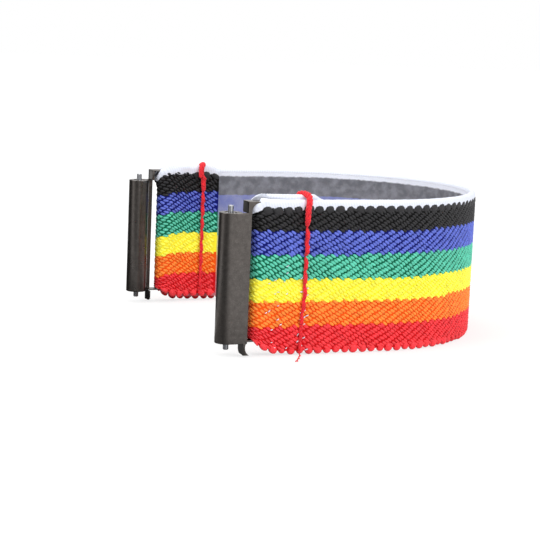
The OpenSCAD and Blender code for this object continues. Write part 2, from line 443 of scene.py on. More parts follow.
@dataclass(frozen=True)
class Selvedge:
    """White polyester edge cord of the webbing: soft and smooth, with faint wraps whose grooves are sunk by
    the bump and painted in a darker shade.
    """

    stripe: Stripe = STRIPES[0]
    wrap: float = 0.45
    lean: float = 0.3
    narrow: float = 6.0
    fuzz: float = 6.0
    roughness: float = 0.85

    def make(self, name: str) -> bpy.types.Material:
        """Builds the material, reading the webbing's own "lay" attribute in millimetres.

        Args:
            name: name of the material.

        Returns:
            The material.
        """
        m = Surface(name)
        lay = m.add("Attribute", attribute_name="lay").outputs["Vector"]
        along, up, _ = m.add("SeparateXYZ", (lay,)).outputs
        groove = m.add("Math", (up, self.lean, along), operation="MULTIPLY_ADD")
        for operation, value in (("MULTIPLY", math.pi / self.wrap), ("COSINE", 0.0), ("ABSOLUTE", 0.0),
                                 ("POWER", self.narrow)):
            groove = m.add("Math", (groove, value), operation=operation)
        fuzz = m.add("TexNoise", {"Vector": lay, "Scale": self.fuzz, "Detail": 3.0})
        fuzz = m.add("Math", (fuzz, 0.5), operation="MULTIPLY")
        # Painted shade: the grooves between the wraps take the white stripe's shade colour.
        share = m.add("Math", (groove, fuzz), operation="MULTIPLY")
        colour = m.add("Mix", {0: share, 6: linear(self.stripe.colour), 7: linear(self.stripe.shade)},
                       data_type="RGBA").outputs[2]
        height = m.add("Math", (groove, -0.4, fuzz), operation="MULTIPLY_ADD")
        return m.show({"Base Color": colour, "Roughness": self.roughness, "Specular IOR Level": 0.25,
                       "Sheen Weight": 0.1}, (0.3, 0.05, height))


@dataclass(frozen=True)
class WovenGround:
    """Ground of the polyester webbing: what shows between the floats, painted in the stripes' shade colours,
    or the smooth greyish back.
    """

    back: bool = False
    filler: str = "#8C8E98"
    filler_pale: str = "#A0A2AC"
    roughness: float = 0.88
    rim: float = 0.4
    soft: float = 0.15
    fuzz: float = 5.0

    def stripes(self, m: Nodes, v: object) -> bpy.types.NodeSocket:
        """Colour of the stripe at a height: its painted shade colour on the front, its own colour on the
        back.

        Args:
            m: nodes of the material.
            v: socket or node with the height from the middle of the width, in millimetres.

        Returns:
            Socket with the colour.
        """
        share = m.add("Math", (v, 1 / SIZES.webbing_w, 0.5), operation="MULTIPLY_ADD")
        ramp = m.add("ValToRGB", (share,))
        ramp.color_ramp.interpolation = "CONSTANT"
        marks = [(0.0, STRIPES[-1])]
        marks += [(BOUNDS[k] / SIZES.webbing_w + 0.5, STRIPES[k]) for k in range(len(STRIPES) - 2, -1, -1)]
        elements = ramp.color_ramp.elements
        while len(elements) < len(marks):
            elements.new(1.0)
        for element, (place, stripe) in zip(elements, marks):
            element.position = place
            # Painted shade: the front shows only between the floats, so it takes each stripe's shade colour.
            element.color = linear(stripe.colour if self.back else stripe.shade)
        return ramp.outputs["Color"]

    def filled(self, m: Nodes, lay: bpy.types.NodeSocket, v: bpy.types.NodeSocket) -> bpy.types.NodeSocket:
        """Colour of the back: grey filler yarn, which lets the stripes through, under a white rim.

        Args:
            m: nodes of the material.
            lay: socket with the place on the flat webbing, in millimetres.
            v: socket with the height alone.

        Returns:
            Socket with the colour.
        """
        waver = m.add("TexNoise", {"Vector": lay, "Scale": 1.2, "Detail": 2.0})
        waver = m.add("Math", (waver, 0.4, -0.2), operation="MULTIPLY_ADD")
        v = m.add("Math", (v, waver), operation="ADD")
        cloud = m.add("TexNoise", {"Vector": lay, "Scale": 0.75, "Detail": 3.0})
        blotch = m.add("MapRange", (cloud, 0.3, 0.7), interpolation_type="SMOOTHSTEP")
        cover = m.add("Math", (blotch, 0.14, 0.5), operation="MULTIPLY_ADD")
        edge = BOUNDS[0] - self.rim
        above = m.add("MapRange", (v, edge - self.soft, edge + self.soft), interpolation_type="SMOOTHSTEP")
        filler = m.add("Mix", {0: blotch, 6: linear(self.filler), 7: linear(self.filler_pale)},
                       data_type="RGBA").outputs[2]
        shown = m.add("Mix", {0: cover, 6: self.stripes(m, v), 7: filler}, data_type="RGBA").outputs[2]
        return m.add("Mix", {0: above, 6: shown, 7: linear(STRIPES[0].colour)}, data_type="RGBA").outputs[2]

    def make(self, name: str) -> bpy.types.Material:
        """Builds the material, reading the webbing's own "lay" attribute in millimetres.

        Args:
            name: name of the material.

        Returns:
            The material.
        """
        m = Surface(name)
        lay = m.add("Attribute", attribute_name="lay").outputs["Vector"]
        v = m.add("SeparateXYZ", (lay,)).outputs[1]
        fuzz = m.add("TexNoise", {"Vector": lay, "Scale": self.fuzz, "Detail": 3.0})
        level = m.add("Math", (fuzz, 0.3, 0.85), operation="MULTIPLY_ADD")
        colour = self.filled(m, lay, v) if self.back else self.stripes(m, v)
        shown = m.add("VectorMath", {0: colour, "Scale": level}, operation="SCALE")
        return m.show({"Base Color": shown, "Roughness": self.roughness, "Specular IOR Level": 0.2},
                      (0.3, 0.06, fuzz))


@dataclass(frozen=True)
class SewingThread:
    """Thick twisted polyester thread: matt, with the twist showing as slanted plies."""

    colour: str = "#E8202E"
    shade: str = "#8C0814"
    roughness: float = 0.7
    grains: float = 6000.0

    def make(self, name: str) -> bpy.types.Material:
        """Builds the material, with a noise grain under 0.2 mm that roughens the surface and mixes in the
        dark shade colour.

        Args:
            name: name of the material.

        Returns:
            The material.
        """
        m = Surface(name)
        place = m.add("TexCoord").outputs["Object"]
        grain = m.add("TexNoise", {"Vector": place, "Scale": self.grains, "Detail": 2.0})
        deep = m.add("MapRange", (grain, 0.5, 0.25), interpolation_type="SMOOTHSTEP")
        colour = m.add("Mix", {0: deep, 6: linear(self.colour), 7: linear(self.shade)},
                       data_type="RGBA").outputs[2]
        return m.show({"Base Color": colour, "Roughness": self.roughness, "Specular IOR Level": 0.3,
                       "Sheen Weight": 0.15}, (0.4, 0.05, grain))


@dataclass(frozen=True)
class CoatedSteel:
    """Dark gunmetal coating on blasted sheet steel: a satin metal with a fine even grain."""

    colour: str = "#605B58"
    worn: str = "#6E6A66"
    roughness: float = 0.3
    grains: float = 8000.0
    clouds: float = 500.0
    streaks: float = 1700.0

    def make(self, name: str) -> bpy.types.Material:
        """Builds the material, with the blasted grain at about 0.12 mm and soft streaks.

        Args:
            name: name of the material.

        Returns:
            The material.
        """
        m = Surface(name)
        place = m.add("TexCoord").outputs["Object"]
        grain, cloud, streak = (m.add("TexNoise", {"Vector": place, "Scale": scale, "Detail": detail})
                                for scale, detail in ((self.grains, 2.0), (self.clouds, 3.0),
                                                      (self.streaks, 3.0)))
        bare = m.add("MapRange", (grain, 0.5, 0.75), interpolation_type="SMOOTHSTEP")
        colour = m.add("Mix", {0: bare, 6: linear(self.colour), 7: linear(self.worn)},
                       data_type="RGBA").outputs[2]
        level = m.add("Math", (streak, 0.7, 0.65), operation="MULTIPLY_ADD")
        shown = m.add("VectorMath", {0: colour, "Scale": level}, operation="SCALE")
        rough = m.add("Math", (cloud, 0.16, self.roughness - 0.08), operation="MULTIPLY_ADD")
        return m.show({"Base Color": shown, "Roughness": rough, "Metallic": 0.95}, (0.25, 0.02, grain))


@dataclass(frozen=True)
class TurnedSteel:
    """Bare turned stainless steel: bright, with fine rings left by the tool."""

    colour: str = "#B9BBBF"
    roughness: float = 0.3
    rings: float = 20000.0

    def make(self, name: str) -> bpy.types.Material:
        """Builds the material, with tool rings 0.05 mm apart up the Z axis.

        Args:
            name: name of the material.

        Returns:
            The material.
        """
        m = Surface(name)
        up = m.add("SeparateXYZ", (m.add("TexCoord").outputs["Object"],)).outputs[2]
        rings = m.add("TexNoise", {"W": up, "Scale": self.rings, "Detail": 1.0}, noise_dimensions="1D")
        rough = m.add("Math", (rings, 0.15, self.roughness - 0.07), operation="MULTIPLY_ADD")
        return m.show({"Base Color": linear(self.colour), "Metallic": 1.0, "Roughness": rough},
                      (0.3, 0.01, rings))


@dataclass(frozen=True)
class CutRubber:
    """Square-cut natural rubber thread dusted with talc: pale and quite matt."""

    colour: str = "#E4DCCB"
    marked: str = "#CFC4AE"
    roughness: float = 0.85
    marks: float = 5000.0

    def make(self, name: str) -> bpy.types.Material:
        """Builds the material, with cut marks about 0.2 mm apart.

        Args:
            name: name of the material.

        Returns:
            The material.
        """
        m = Surface(name)
        place = m.add("TexCoord").outputs["Object"]
        marks = m.add("TexNoise", {"Vector": place, "Scale": self.marks, "Detail": 2.0})
        colour = m.add("Mix", {0: marks, 6: linear(self.colour), 7: linear(self.marked)},
                       data_type="RGBA").outputs[2]
        return m.show({"Base Color": colour, "Roughness": self.roughness})


class Finishes:
    """One material of each finish, shared by the pieces that have it."""

    def __init__(self) -> None:
        """Makes every material of the band."""
        self.yarn = {stripe.name: WovenYarn(stripe).make(f"polyester_yarn_{stripe.name}")
                     for stripe in STRIPES[1:]}
        self.yarn_white = WovenYarn(STRIPES[0]).make("polyester_core_cover_white")
        self.selvedge = Selvedge().make("polyester_edge_cord")
        self.ground = WovenGround().make("polyester_webbing_ground")
        self.back = WovenGround(back=True).make("polyester_webbing_back")
        self.thread = SewingThread().make("polyester_sewing_thread")
        self.gunmetal = CoatedSteel().make("gunmetal_coated_steel")
        self.steel = TurnedSteel().make("turned_stainless_steel")
        self.rubber = CutRubber().make("square_cut_rubber")


class StrapPath:
    """Line along the middle of the webbing, from the round end's middle to the cut end of the hem."""

    def __init__(self, z: BandSizes) -> None:
        """Measures the runs of the path.

        Args:
            z: sizes of the band.
        """
        self.z = z
        inner_y = -z.loop_r + z.webbing_t
        drop = z.fold_mid * math.cos(z.hem_slope) - (inner_y + z.bar_y)
        slope_l = drop / math.sin(z.hem_slope)
        self.slope_start = (z.cross_x + z.fold_mid * math.sin(z.hem_slope),
                            -z.bar_y + z.fold_mid * math.cos(z.hem_slope))
        self.arc = z.loop_r * math.pi / 2
        self.fold_at = self.arc + z.straight_len - z.cross_x
        self.slope_at = self.fold_at + z.fold_mid * (math.pi + z.hem_slope)
        self.inner_at = self.slope_at + slope_l
        self.end_at = self.inner_at + z.hem_end - (self.slope_start[0] + slope_l * math.cos(z.hem_slope))

    def outer_s(self, x: float) -> float:
        """Distance along the path of a place on the straight outer layer."""
        return self.arc + self.z.straight_len - x

    def at(self, s: np.ndarray) -> tuple[np.ndarray, np.ndarray, np.ndarray, np.ndarray]:
        """Finds points and outward normals on the near side.

        Args:
            s: distances along the path in millimetres.

        Returns:
            x and y of the points, and x and y of the normals of the patterned face.
        """
        z = self.z
        x, y, nx, ny = (np.zeros_like(s) for _ in range(4))
        k = s < self.arc
        a = s[k] / z.loop_r
        x[k], y[k] = z.straight_len + z.loop_r * np.cos(a), -z.loop_r * np.sin(a)
        nx[k], ny[k] = np.cos(a), -np.sin(a)
        k = (s >= self.arc) & (s < self.fold_at)
        x[k], y[k], ny[k] = z.straight_len - (s[k] - self.arc), -z.loop_r, -1.0
        k = (s >= self.fold_at) & (s < self.slope_at)
        a = -math.pi / 2 - (s[k] - self.fold_at) / z.fold_mid
        x[k], y[k] = z.cross_x + z.fold_mid * np.cos(a), -z.bar_y + z.fold_mid * np.sin(a)
        nx[k], ny[k] = np.cos(a), np.sin(a)
        k = s >= self.slope_at
        a = z.hem_slope * (1 - smoothstep(s[k], self.inner_at - 0.5, self.inner_at + 0.5))
        nx[k], ny[k] = np.sin(a), np.cos(a)
        flat = np.maximum(s[k] - self.inner_at, 0.0)
        run = np.minimum(s[k] - self.slope_at, self.inner_at - self.slope_at)
        x[k] = self.slope_start[0] + run * math.cos(z.hem_slope) + flat
        y[k] = self.slope_start[1] - run * math.sin(z.hem_slope)
        return x, y, nx, ny


@dataclass(frozen=True)
class Gather:
    """How the ears and the bar press the webbing, in millimetres and by the way past the fold's start."""

    depth: float = 4.3
    fade: float = 1.2
    upper: Pairs = (
        (-1.8, 0.0), (-0.7, -0.12), (0.1, -0.2), (0.3, -0.08), (0.5, 0.08), (0.9, 0.5), (1.3, 1.0),
        (1.8, 1.15), (2.2, 0.8), (2.45, 0.2), (2.75, -0.25), (3.2, -0.52), (3.9, -0.68))
    lower: Pairs = (
        (-4.6, 0.0), (-2.6, 0.2), (-1.6, 0.45), (-0.5, 0.95), (0.2, 1.45), (0.6, 2.0), (0.95, 2.35),
        (1.8, 2.5), (2.3, 2.45), (2.9, 2.15), (3.9, 1.6), (5.0, 1.1), (6.5, 0.68))
    # The hem is lifted whole, but its upper corner is drawn down.
    lift: float = 0.68
    lift_span: tuple[float, float] = (2.2, 5.0)
    corner: float = 1.6
    corner_drop: float = 0.73
    # The upper edge fills the ear's hollow, from one depth below the edge to another.
    bulge: float = 0.3
    bulge_top: tuple[float, float] = (4.0, 1.2)
    # The face is thin over the cross bar, but not at the upper edge.
    squeeze: float = 0.42
    thin_from: tuple[float, float] = (-1.6, 0.6)
    thin_to: tuple[float, float] = (2.0, 4.5)
    thin_top: tuple[float, float] = (3.2, 1.4)
    # Room left round the lips, and where the outer layer ends and the inner one starts.
    outer_till: float = 1.2
    inner_from: float = 1.9
    upper_gap: float = 0.08
    lower_gap: float = 0.05
    end_gap: float = 0.1
    front_gap: float = 0.03
    back_gap: float = 0.05
    leg_front: float = 1.18
    lip_back: float = 0.6
    # The edge cords lean together over the lip, the outer one more than the inner one.
    lean: tuple[float, float] = (0.65, 0.3)
    lean_from: tuple[float, float] = (-0.03, 0.45)
    lean_far: tuple[float, float] = (1.0, 3.0)
    lean_x: float = 0.2
    lean_till: float = 1.5


@dataclass(frozen=True)
class StrapShape:
    """Maps places on the flat webbing to places on the closed band."""

    z: BandSizes
    path: StrapPath
    gather: Gather = Gather()

    def height(self, s: np.ndarray, v: np.ndarray) -> np.ndarray:
        """Finds the height of places once the ears have pressed the edges in.

        Args:
            s: distance from the round end's middle, in millimetres.
            v: height from the middle of the width.

        Returns:
            Heights from the middle of the width.
        """
        g, half = self.gather, self.z.half_w
        t = s - self.path.fold_at
        upper = read(g.upper, t)
        upper += g.corner_drop * smoothstep(s, self.path.end_at - g.corner, self.path.end_at)
        lift = g.lift * smoothstep(t, *g.lift_span)
        near_edge = np.clip((np.abs(v) - half + g.depth) / g.depth, 0.0, None) ** g.fade
        return v + lift + near_edge * np.where(v > 0, -(upper + lift), read(g.lower, t) - lift)

    def place(self, side: Side, s: np.ndarray, v: np.ndarray, h: np.ndarray) -> np.ndarray:
        """Places points of the webbing.

        Args:
            side: end of the band.
            s: distance from the round end's middle, in millimetres.
            v: height from the middle of the width.
            h: height off the middle of the thickness, towards the patterned face.

        Returns:
            An array with one place in each row, in metres in the frame.
        """
        z, g = self.z, self.gather
        x, y, nx, ny = self.path.at(s)
        up = self.height(s, v)
        t = s - self.path.fold_at
        # The face is drawn thin over the cross bar, all but the upper edge.
        thin = smoothstep(t, *g.thin_from) * (1 - smoothstep(t, *g.thin_to))
        thin *= 1 - smoothstep(v, *(z.half_w - down for down in g.thin_top))
        h = np.where(h > 0, h * (1 - g.squeeze * thin), h)
        x, y = x + nx * h, y + ny * h
        # Drawn together under the upper ear, the edge fills the ear's hollow.
        turned = np.clip(t / z.fold_mid, 0.0, math.pi / 2)
        edge = smoothstep(v, *(z.half_w - down for down in g.bulge_top))
        full = 1 + g.bulge * np.sin(2 * turned) ** 2 * edge
        x, y = z.cross_x + (x - z.cross_x) * full, -z.bar_y + (y + z.bar_y) * full
        # The edges pass round the lips of the ears, which reach in to the cross bar.
        past = (up > z.ear_in - g.upper_gap) | (up < -z.low_in + g.lower_gap)
        past &= x < z.cross_x + z.lip_r + g.end_gap
        front = -z.bar_y - np.where(x > z.cross_x - g.lip_back, z.lip_r + g.front_gap, g.leg_front)
        y = np.where(past & (t < g.outer_till), np.minimum(y, front), y)
        y = np.where(past & (t > g.inner_from), np.maximum(y, -z.bar_y + z.lip_r + g.back_gap), y)
        # Above the upper lip the two layers' edge cords lean together.
        over = smoothstep(up, *(z.ear_out + more for more in g.lean_from))
        over *= 1 - smoothstep(np.abs(x - z.cross_x - g.lean_x), *g.lean_far)
        y = y + np.where(t < g.lean_till, *g.lean) * over * (-z.bar_y - y)
        return np.stack([x + z.shift_x, y * -side.value, up + z.mid_z], axis=-1) * MM


def select_only(*objects: bpy.types.Object) -> None:
    """Leaves some objects selected, the first of them active.

    Args:
        *objects: what stays selected.
    """
    bpy.ops.object.select_all(action="DESELECT")
    for obj in objects:
        obj.select_set(True)
    bpy.context.view_layer.objects.active = objects[0]


@contextmanager
def edit_mode() -> Iterator[None]:
    """Opens the active mesh for editing with all of it selected, and closes it again.

    Yields:
        Nothing, while the mesh is open.
    """
    bpy.ops.object.mode_set(mode="EDIT")
    bpy.ops.mesh.select_all(action="SELECT")
    yield
    bpy.ops.object.mode_set(mode="OBJECT")


def coordinates(mesh: bpy.types.Mesh) -> np.ndarray:
    """Reads the places of a mesh's vertices.

    Args:
        mesh: mesh to read.

    Returns:
        An array with one place in each row.
    """
    flat = np.empty(len(mesh.vertices) * 3)
    mesh.vertices.foreach_get("co", flat)
    return flat.reshape(-1, 3)


def move_to(mesh: bpy.types.Mesh, points: np.ndarray) -> None:
    """Puts a mesh's vertices at new places."""
    mesh.vertices.foreach_set("co", points.ravel())
    mesh.update()


def mark(mesh: bpy.types.Mesh, name: str, values: np.ndarray) -> None:
    """Lets a mesh's vertices carry a number or a vector each, under a name that a material reads."""
    kind, field = ("FLOAT", "value") if values.ndim == 1 else ("FLOAT_VECTOR", "vector")
    mesh.attributes.new(name, kind, "POINT").data.foreach_set(field, values.ravel())


def paint(obj: bpy.types.Object, *materials: bpy.types.Material) -> None:
    """Gives a piece its materials, in place of any that it has.

    Args:
        obj: piece to paint.
        *materials: its materials, by slot.
    """
    obj.data.materials.clear()
    for material in materials:
        obj.data.materials.append(material)


def finish_mesh(obj: bpy.types.Object, smooth_angle: float | None = None) -> None:
    """Makes the normals point out and shades the piece smooth.

    Args:
        obj: piece to finish.
        smooth_angle: angle in degrees past which edges stay sharp, or None for smooth all over.
    """
    select_only(obj)
    with edit_mode():
        bpy.ops.mesh.normals_make_consistent(inside=False)
    if smooth_angle is None:
        bpy.ops.object.shade_smooth()
    else:
        bpy.ops.object.shade_smooth_by_angle(angle=math.radians(smooth_angle))


def apply_modifier(obj: bpy.types.Object, kind: str, **settings: object) -> None:
    """Adds one modifier to a piece, sets it and applies it.

    Args:
        obj: piece that gets the modifier.
        kind: Blender's name of the modifier type.
        **settings: values of the modifier.
    """
    bpy.context.view_layer.objects.active = obj
    modifier = obj.modifiers.new(kind.lower(), kind)
    for name, value in settings.items():
        setattr(modifier, name, value)
    bpy.ops.object.modifier_apply(modifier=modifier.name)


def link(obj: bpy.types.Object) -> bpy.types.Object:
    """Puts an object into the scene and returns it."""
    bpy.context.scene.collection.objects.link(obj)
    return obj


def join(name: str, parts: list[bpy.types.Object]) -> bpy.types.Object:
    """Joins several objects into the first of them.

    Args:
        name: name of the piece that they become.
        parts: the objects.

    Returns:
        The piece.
    """
    select_only(*parts)
    if len(parts) > 1:
        bpy.ops.object.join()
    parts[0].name = parts[0].data.name = name
    return parts[0]


def slab(cols: int, rows: int) -> bpy.types.Object:
    """Makes a closed slab one unit long, wide and high, its top and bottom split into a grid.

    Args:
        cols: steps along it.
        rows: steps across it.

    Returns:
        The slab.
    """
    bpy.ops.object.select_all(action="DESELECT")
    bpy.ops.mesh.primitive_grid_add(x_subdivisions=cols, y_subdivisions=rows, size=1.0, calc_uvs=False)
    with edit_mode():
        bpy.ops.mesh.extrude_region_move(TRANSFORM_OT_translate={"value": (0.0, 0.0, 1.0)})
    return bpy.context.view_layer.objects.active


def wire(name: str, line: np.ndarray, radii: np.ndarray, facets: int) -> bpy.types.Object:
    """Makes a round wire along a line and turns it into a mesh.

    Args:
        name: name of the piece.
        line: places in millimetres, from between the spring bars at mid-height.
        radii: radius at each place, in millimetres.
        facets: how finely the wire is rounded.

    Returns:
        The piece.
    """
    curve = bpy.data.curves.new(name, "CURVE")
    curve.dimensions = "3D"
    curve.bevel_depth = MM
    curve.bevel_resolution = facets
    curve.use_fill_caps = True
    spline = curve.splines.new("POLY")
    spline.points.add(len(line) - 1)
    for point, place, radius in zip(spline.points, line, radii):
        point.co = (*in_frame(*place), 1.0)
        point.radius = radius
    select_only(link(bpy.data.objects.new(name, curve)))
    bpy.ops.object.convert(target="MESH")
    obj = bpy.context.view_layer.objects.active
    obj.name = obj.data.name = name
    return obj


def mesh_piece(name: str, points: np.ndarray, corners: np.ndarray, sizes: np.ndarray) -> bpy.types.Object:
    """Makes an object from points and faces.

    Args:
        name: name of the piece.
        points: places of the vertices, in metres.
        corners: vertex numbers of all faces in a row.
        sizes: number of corners of each face.

    Returns:
        The piece, linked to the scene.
    """
    mesh = bpy.data.meshes.new(name)
    mesh.vertices.add(len(points))
    mesh.vertices.foreach_set("co", points.ravel())
    mesh.loops.add(len(corners))
    mesh.loops.foreach_set("vertex_index", corners.astype(np.int32))
    mesh.polygons.add(len(sizes))
    starts = np.concatenate([[0], np.cumsum(sizes)[:-1]])
    mesh.polygons.foreach_set("loop_start", starts.astype(np.int32))
    mesh.polygons.foreach_set("use_smooth", np.ones(len(sizes), dtype=bool))
    mesh.update(calc_edges=True)
    mesh.validate()
    return link(bpy.data.objects.new(name, mesh))


def tie_span(piece: bpy.types.Object) -> None:
    """Bakes the place of a piece of one span into its mesh.

    Args:
        piece: piece of the span.
    """
    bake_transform(piece)


class Bead:
    """Low round body made once from a sphere, which each float, mound and knob of the weave repeats."""

    def __init__(self, segments: int = 8, rings: int = 6, blunt: float = 2.3) -> None:
        """Makes the body, long along its own X axis.

        Args:
            segments: sides round the body.
            rings: steps along it.
            blunt: how full the ends are, 2 for an ellipsoid and more for a blunter form.
        """
        bpy.ops.object.select_all(action="DESELECT")
        bpy.ops.mesh.primitive_uv_sphere_add(segments=segments, ring_count=rings, radius=1.0, calc_uvs=False)
        with edit_mode():
            bpy.ops.transform.rotate(value=math.pi / 2, orient_axis="Y", center_override=(0, 0, 0))
            bpy.ops.mesh.normals_make_consistent(inside=False)
        obj = bpy.context.view_layer.objects.active
        self.points = coordinates(obj.data)
        radius = np.hypot(self.points[:, 1], self.points[:, 2])
        full = np.sqrt(np.clip(1 - np.abs(self.points[:, 0]) ** blunt, 0.0, 1.0))
        self.points[:, 1:] *= (full / np.maximum(radius, 1e-6))[:, None]
        self.corners = np.array([k for face in obj.data.polygons for k in face.vertices])
        self.sizes = np.array([len(face.vertices) for face in obj.data.polygons])
        bpy.data.objects.remove(obj)

    def repeat(self, count: int) -> tuple[np.ndarray, np.ndarray]:
        """Lists the faces of several copies."""
        step = len(self.points) * np.arange(count)[:, None]
        return (self.corners[None, :] + step).ravel(), np.tile(self.sizes, count)


@dataclass
class Webbing:
    """Woven webbing of one side: the span with its half of the round end, and the sewn hem."""

    side: Side
    shape: StrapShape
    finishes: Finishes
    bead: Bead
    knob: Bead
    cell_u: float = 0.33
    cell_v: float = 0.48
    edge_r: float = 0.5
    edge_in: float = 0.2
    ground_in: float = 1.15
    ground_up: float = 0.1
    swell: float = 0.02
    cord_step: float = 0.11
    cord_mid: float = 0.8
    wrap: float = 0.022
    wrap_len: float = 0.45
    wrap_lean: float = 0.3
    # Section of the edge cord from the foot of the outer face up, over the edge and down the back.
    cord: Pairs = (
        (-1.75, 0.3), (-1.6, 0.42), (-1.2, 0.52), (-0.78, 0.59), (-0.42, 0.57), (-0.17, 0.41),
        (-0.04, 0.2), (0.0, -0.02), (-0.04, -0.24), (-0.16, -0.44), (-0.36, -0.58), (-0.6, -0.62),
        (-0.78, -0.55), (-1.2, -0.1))

    def across(self, s_from: float, s_to: float) -> tuple[float, float]:
        """Turns a length of the path into places to the right, as seen from outside the loop."""
        ends = (s_from * self.side.value, s_to * self.side.value)
        return min(ends), max(ends)

    def back_edge(self, v: np.ndarray) -> np.ndarray:
        """Share of the ground's thickness at a height, which is rounded off towards both edges.

        Args:
            v: heights from the middle of the width, in millimetres.

        Returns:
            Shares, 1 away from the edges.
        """
        near_edge = (np.abs(v) - (SIZES.half_w - self.edge_in - self.edge_r)) / self.edge_r
        near_edge = np.clip(near_edge, 0.0, 0.95)
        return np.sqrt(1 - near_edge ** 2)

    def ground(self, name: str, s_from: float, s_to: float) -> bpy.types.Object:
        """Makes the ground of one length from a flat slab, laid along the path.

        Args:
            name: name of the piece.
            s_from: start along the path.
            s_to: end along the path.

        Returns:
            The piece.
        """
        obj = slab(round((s_to - s_from) / self.cell_u), round(SIZES.webbing_w / self.cell_v))
        mesh = obj.data
        obj.name = mesh.name = name
        flat = coordinates(mesh)
        s = s_from + (flat[:, 0] + 0.5) * (s_to - s_from)
        u, v = s * self.side.value, flat[:, 1] * (SIZES.webbing_w - self.ground_in) + self.ground_up
        face = np.where(flat[:, 2] > 0.5, 1.0, -1.0)
        swell = self.swell * np.sin(2.1 * u + 0.7 * v) * np.sin(1.7 * v - 0.9 * u)
        h = np.where(face > 0, WEAVE.ground, -SIZES.webbing_t / 2 + swell) * self.back_edge(v)
        move_to(mesh, self.shape.place(self.side, s, v, h))
        mark(mesh, "lay", np.stack([u, v, face], axis=-1))
        paint(obj, self.finishes.ground, self.finishes.back)
        corners = np.array([k for polygon in mesh.polygons for k in polygon.vertices])
        lowest = face[corners].reshape(-1, 4).min(axis=1)
        mesh.polygons.foreach_set("material_index", (lowest < 0).astype(np.int32))
        mesh.update()
        finish_mesh(obj, 60)
        return obj

    def selvedge(self, name: str, s_from: float, s_to: float) -> bpy.types.Object:
        """Makes the white edge cord of one length, a rounded strip along the upper edge.

        Args:
            name: name of the piece.
            s_from: start along the path.
            s_to: end along the path.

        Returns:
            The piece.
        """
        half, n, cols = SIZES.half_w, len(self.cord), round((s_to - s_from) / self.cord_step)
        s = np.repeat(np.linspace(s_from, s_to, cols + 1), n)
        v, h = (np.tile(np.array(line), cols + 1) for line in zip(*self.cord))
        u, v = s * self.side.value, half + v
        wrap = self.wrap * np.abs(np.cos(np.pi * (u + self.wrap_lean * v) / self.wrap_len))
        wrap += self.swell * np.sin(3.1 * u) * np.sin(1.3 * u + 1)
        outward = np.stack([v - (half - self.cord_mid), h], axis=-1)
        outward /= np.linalg.norm(outward, axis=1)[:, None]
        v, h = v - outward[:, 0] * wrap, h - outward[:, 1] * wrap
        ring = np.arange(n)
        quads = np.stack([ring, (ring + 1) % n, (ring + 1) % n + n, ring + n], axis=-1)
        quads = (quads[None] + n * np.arange(cols)[:, None, None]).reshape(-1)
        corners = np.concatenate([quads, ring[::-1], ring + n * cols])
        sizes = np.concatenate([np.full(n * cols, 4), [n, n]])
        obj = mesh_piece(name, self.shape.place(self.side, s, v, h), corners, sizes)
        mark(obj.data, "lay", np.stack([u, v, h], axis=-1))
        paint(obj, self.finishes.selvedge)
        finish_mesh(obj, 60)
        return obj

    def beads(self, name: str, bead: Bead, middles: np.ndarray, turn: np.ndarray, size: np.ndarray,
              level: np.ndarray, dive: float, tones: np.ndarray) -> bpy.types.Object:
        """Lays copies of a body on the webbing.

        Args:
            name: name of the piece.
            bead: body that is repeated.
            middles: places along and up of the copies.
            turn: angle of each copy, from the band's own direction.
            size: half length, half width and height of each copy.
            level: height of each copy's middle off the middle of the thickness.
            dive: depth by which the ends sink below the middle.
            tones: lightness of each copy, 0 to 1.

        Returns:
            The piece.
        """
        body = bead.points[None]
        a, b = size[:, 0, None] * body[:, :, 0], size[:, 1, None] * body[:, :, 1]
        c = size[:, 2, None] * body[:, :, 2] * np.where(body[:, :, 2] < 0, 0.5, 1.0)
        c -= dive * body[:, :, 0] ** 2
        cos, sin = np.cos(turn)[:, None], np.sin(turn)[:, None]
        x = middles[:, 0, None] + a * cos - b * sin
        v = middles[:, 1, None] + a * sin + b * cos
        h = level[:, None] + c
        points = self.shape.place(self.side, (x * self.side.value).ravel(), v.ravel(), h.ravel())
        obj = mesh_piece(name, points, *bead.repeat(len(middles)))
        # The height share in "fibre" sets where the yarn material paints its shade.
        mark(obj.data, "fibre", np.stack([a.ravel(), b.ravel(), (c / size[:, 2, None]).ravel()], axis=-1))
        mark(obj.data, "tone", np.repeat(tones, body.shape[1]))
        return obj

    def yarns(self, name: str, stripe: int, s_from: float, s_to: float) -> bpy.types.Object:
        """Makes all floats of one colour over one length, with its mounds or knobs at an edge.

        Args:
            name: name of the piece.
            stripe: number of the stripe from the top, 1 for the first below the white edge.
            s_from: start along the path.
            s_to: end along the path.

        Returns:
            The piece.
        """
        last = len(STRIPES) - 1
        top = BOUNDS[stripe - 1] if stripe > 1 else BOUNDS[0] - 0.4
        low = BOUNDS[stripe] if stripe < last else KNOBS.height
        path, across = self.shape.path, self.across(s_from, s_to)
        rng = np.random.default_rng(WEAVE.seed + 10 * stripe + (1 if self.side is Side.FAR else 0))
        middles = WEAVE.centres(across, (low, top))
        if stripe == 1:
            # Over the cross bar the edge cord hides the uppermost floats.
            bare = np.clip(np.abs(np.abs(middles[:, 0]) - path.fold_at - 1.0) / 2.0, 0.0, 1.0)
            middles = middles[middles[:, 1] < top - 0.35 * (1 - bare)]
        x, v = middles[:, 0].copy(), middles[:, 1].copy()
        count = len(middles)
        spread = FLOAT_SPREAD
        middles[:, 0] += sway(WEAVE.along_sway, x, v) + rng.normal(0, spread.along, count)
        middles[:, 1] += sway(WEAVE.up_sway, x, v) + rng.normal(0, spread.up, count)
        turn = -WEAVE.slant + rng.normal(0, spread.turn, count) + sway(WEAVE.turn_sway, x, v)
        # Near the connector the webbing is drawn tight, so the floats lie narrower and flatter.
        drawn = 1 - smoothstep(path.fold_at - np.abs(x), 0.0, WEAVE.drawn_len)
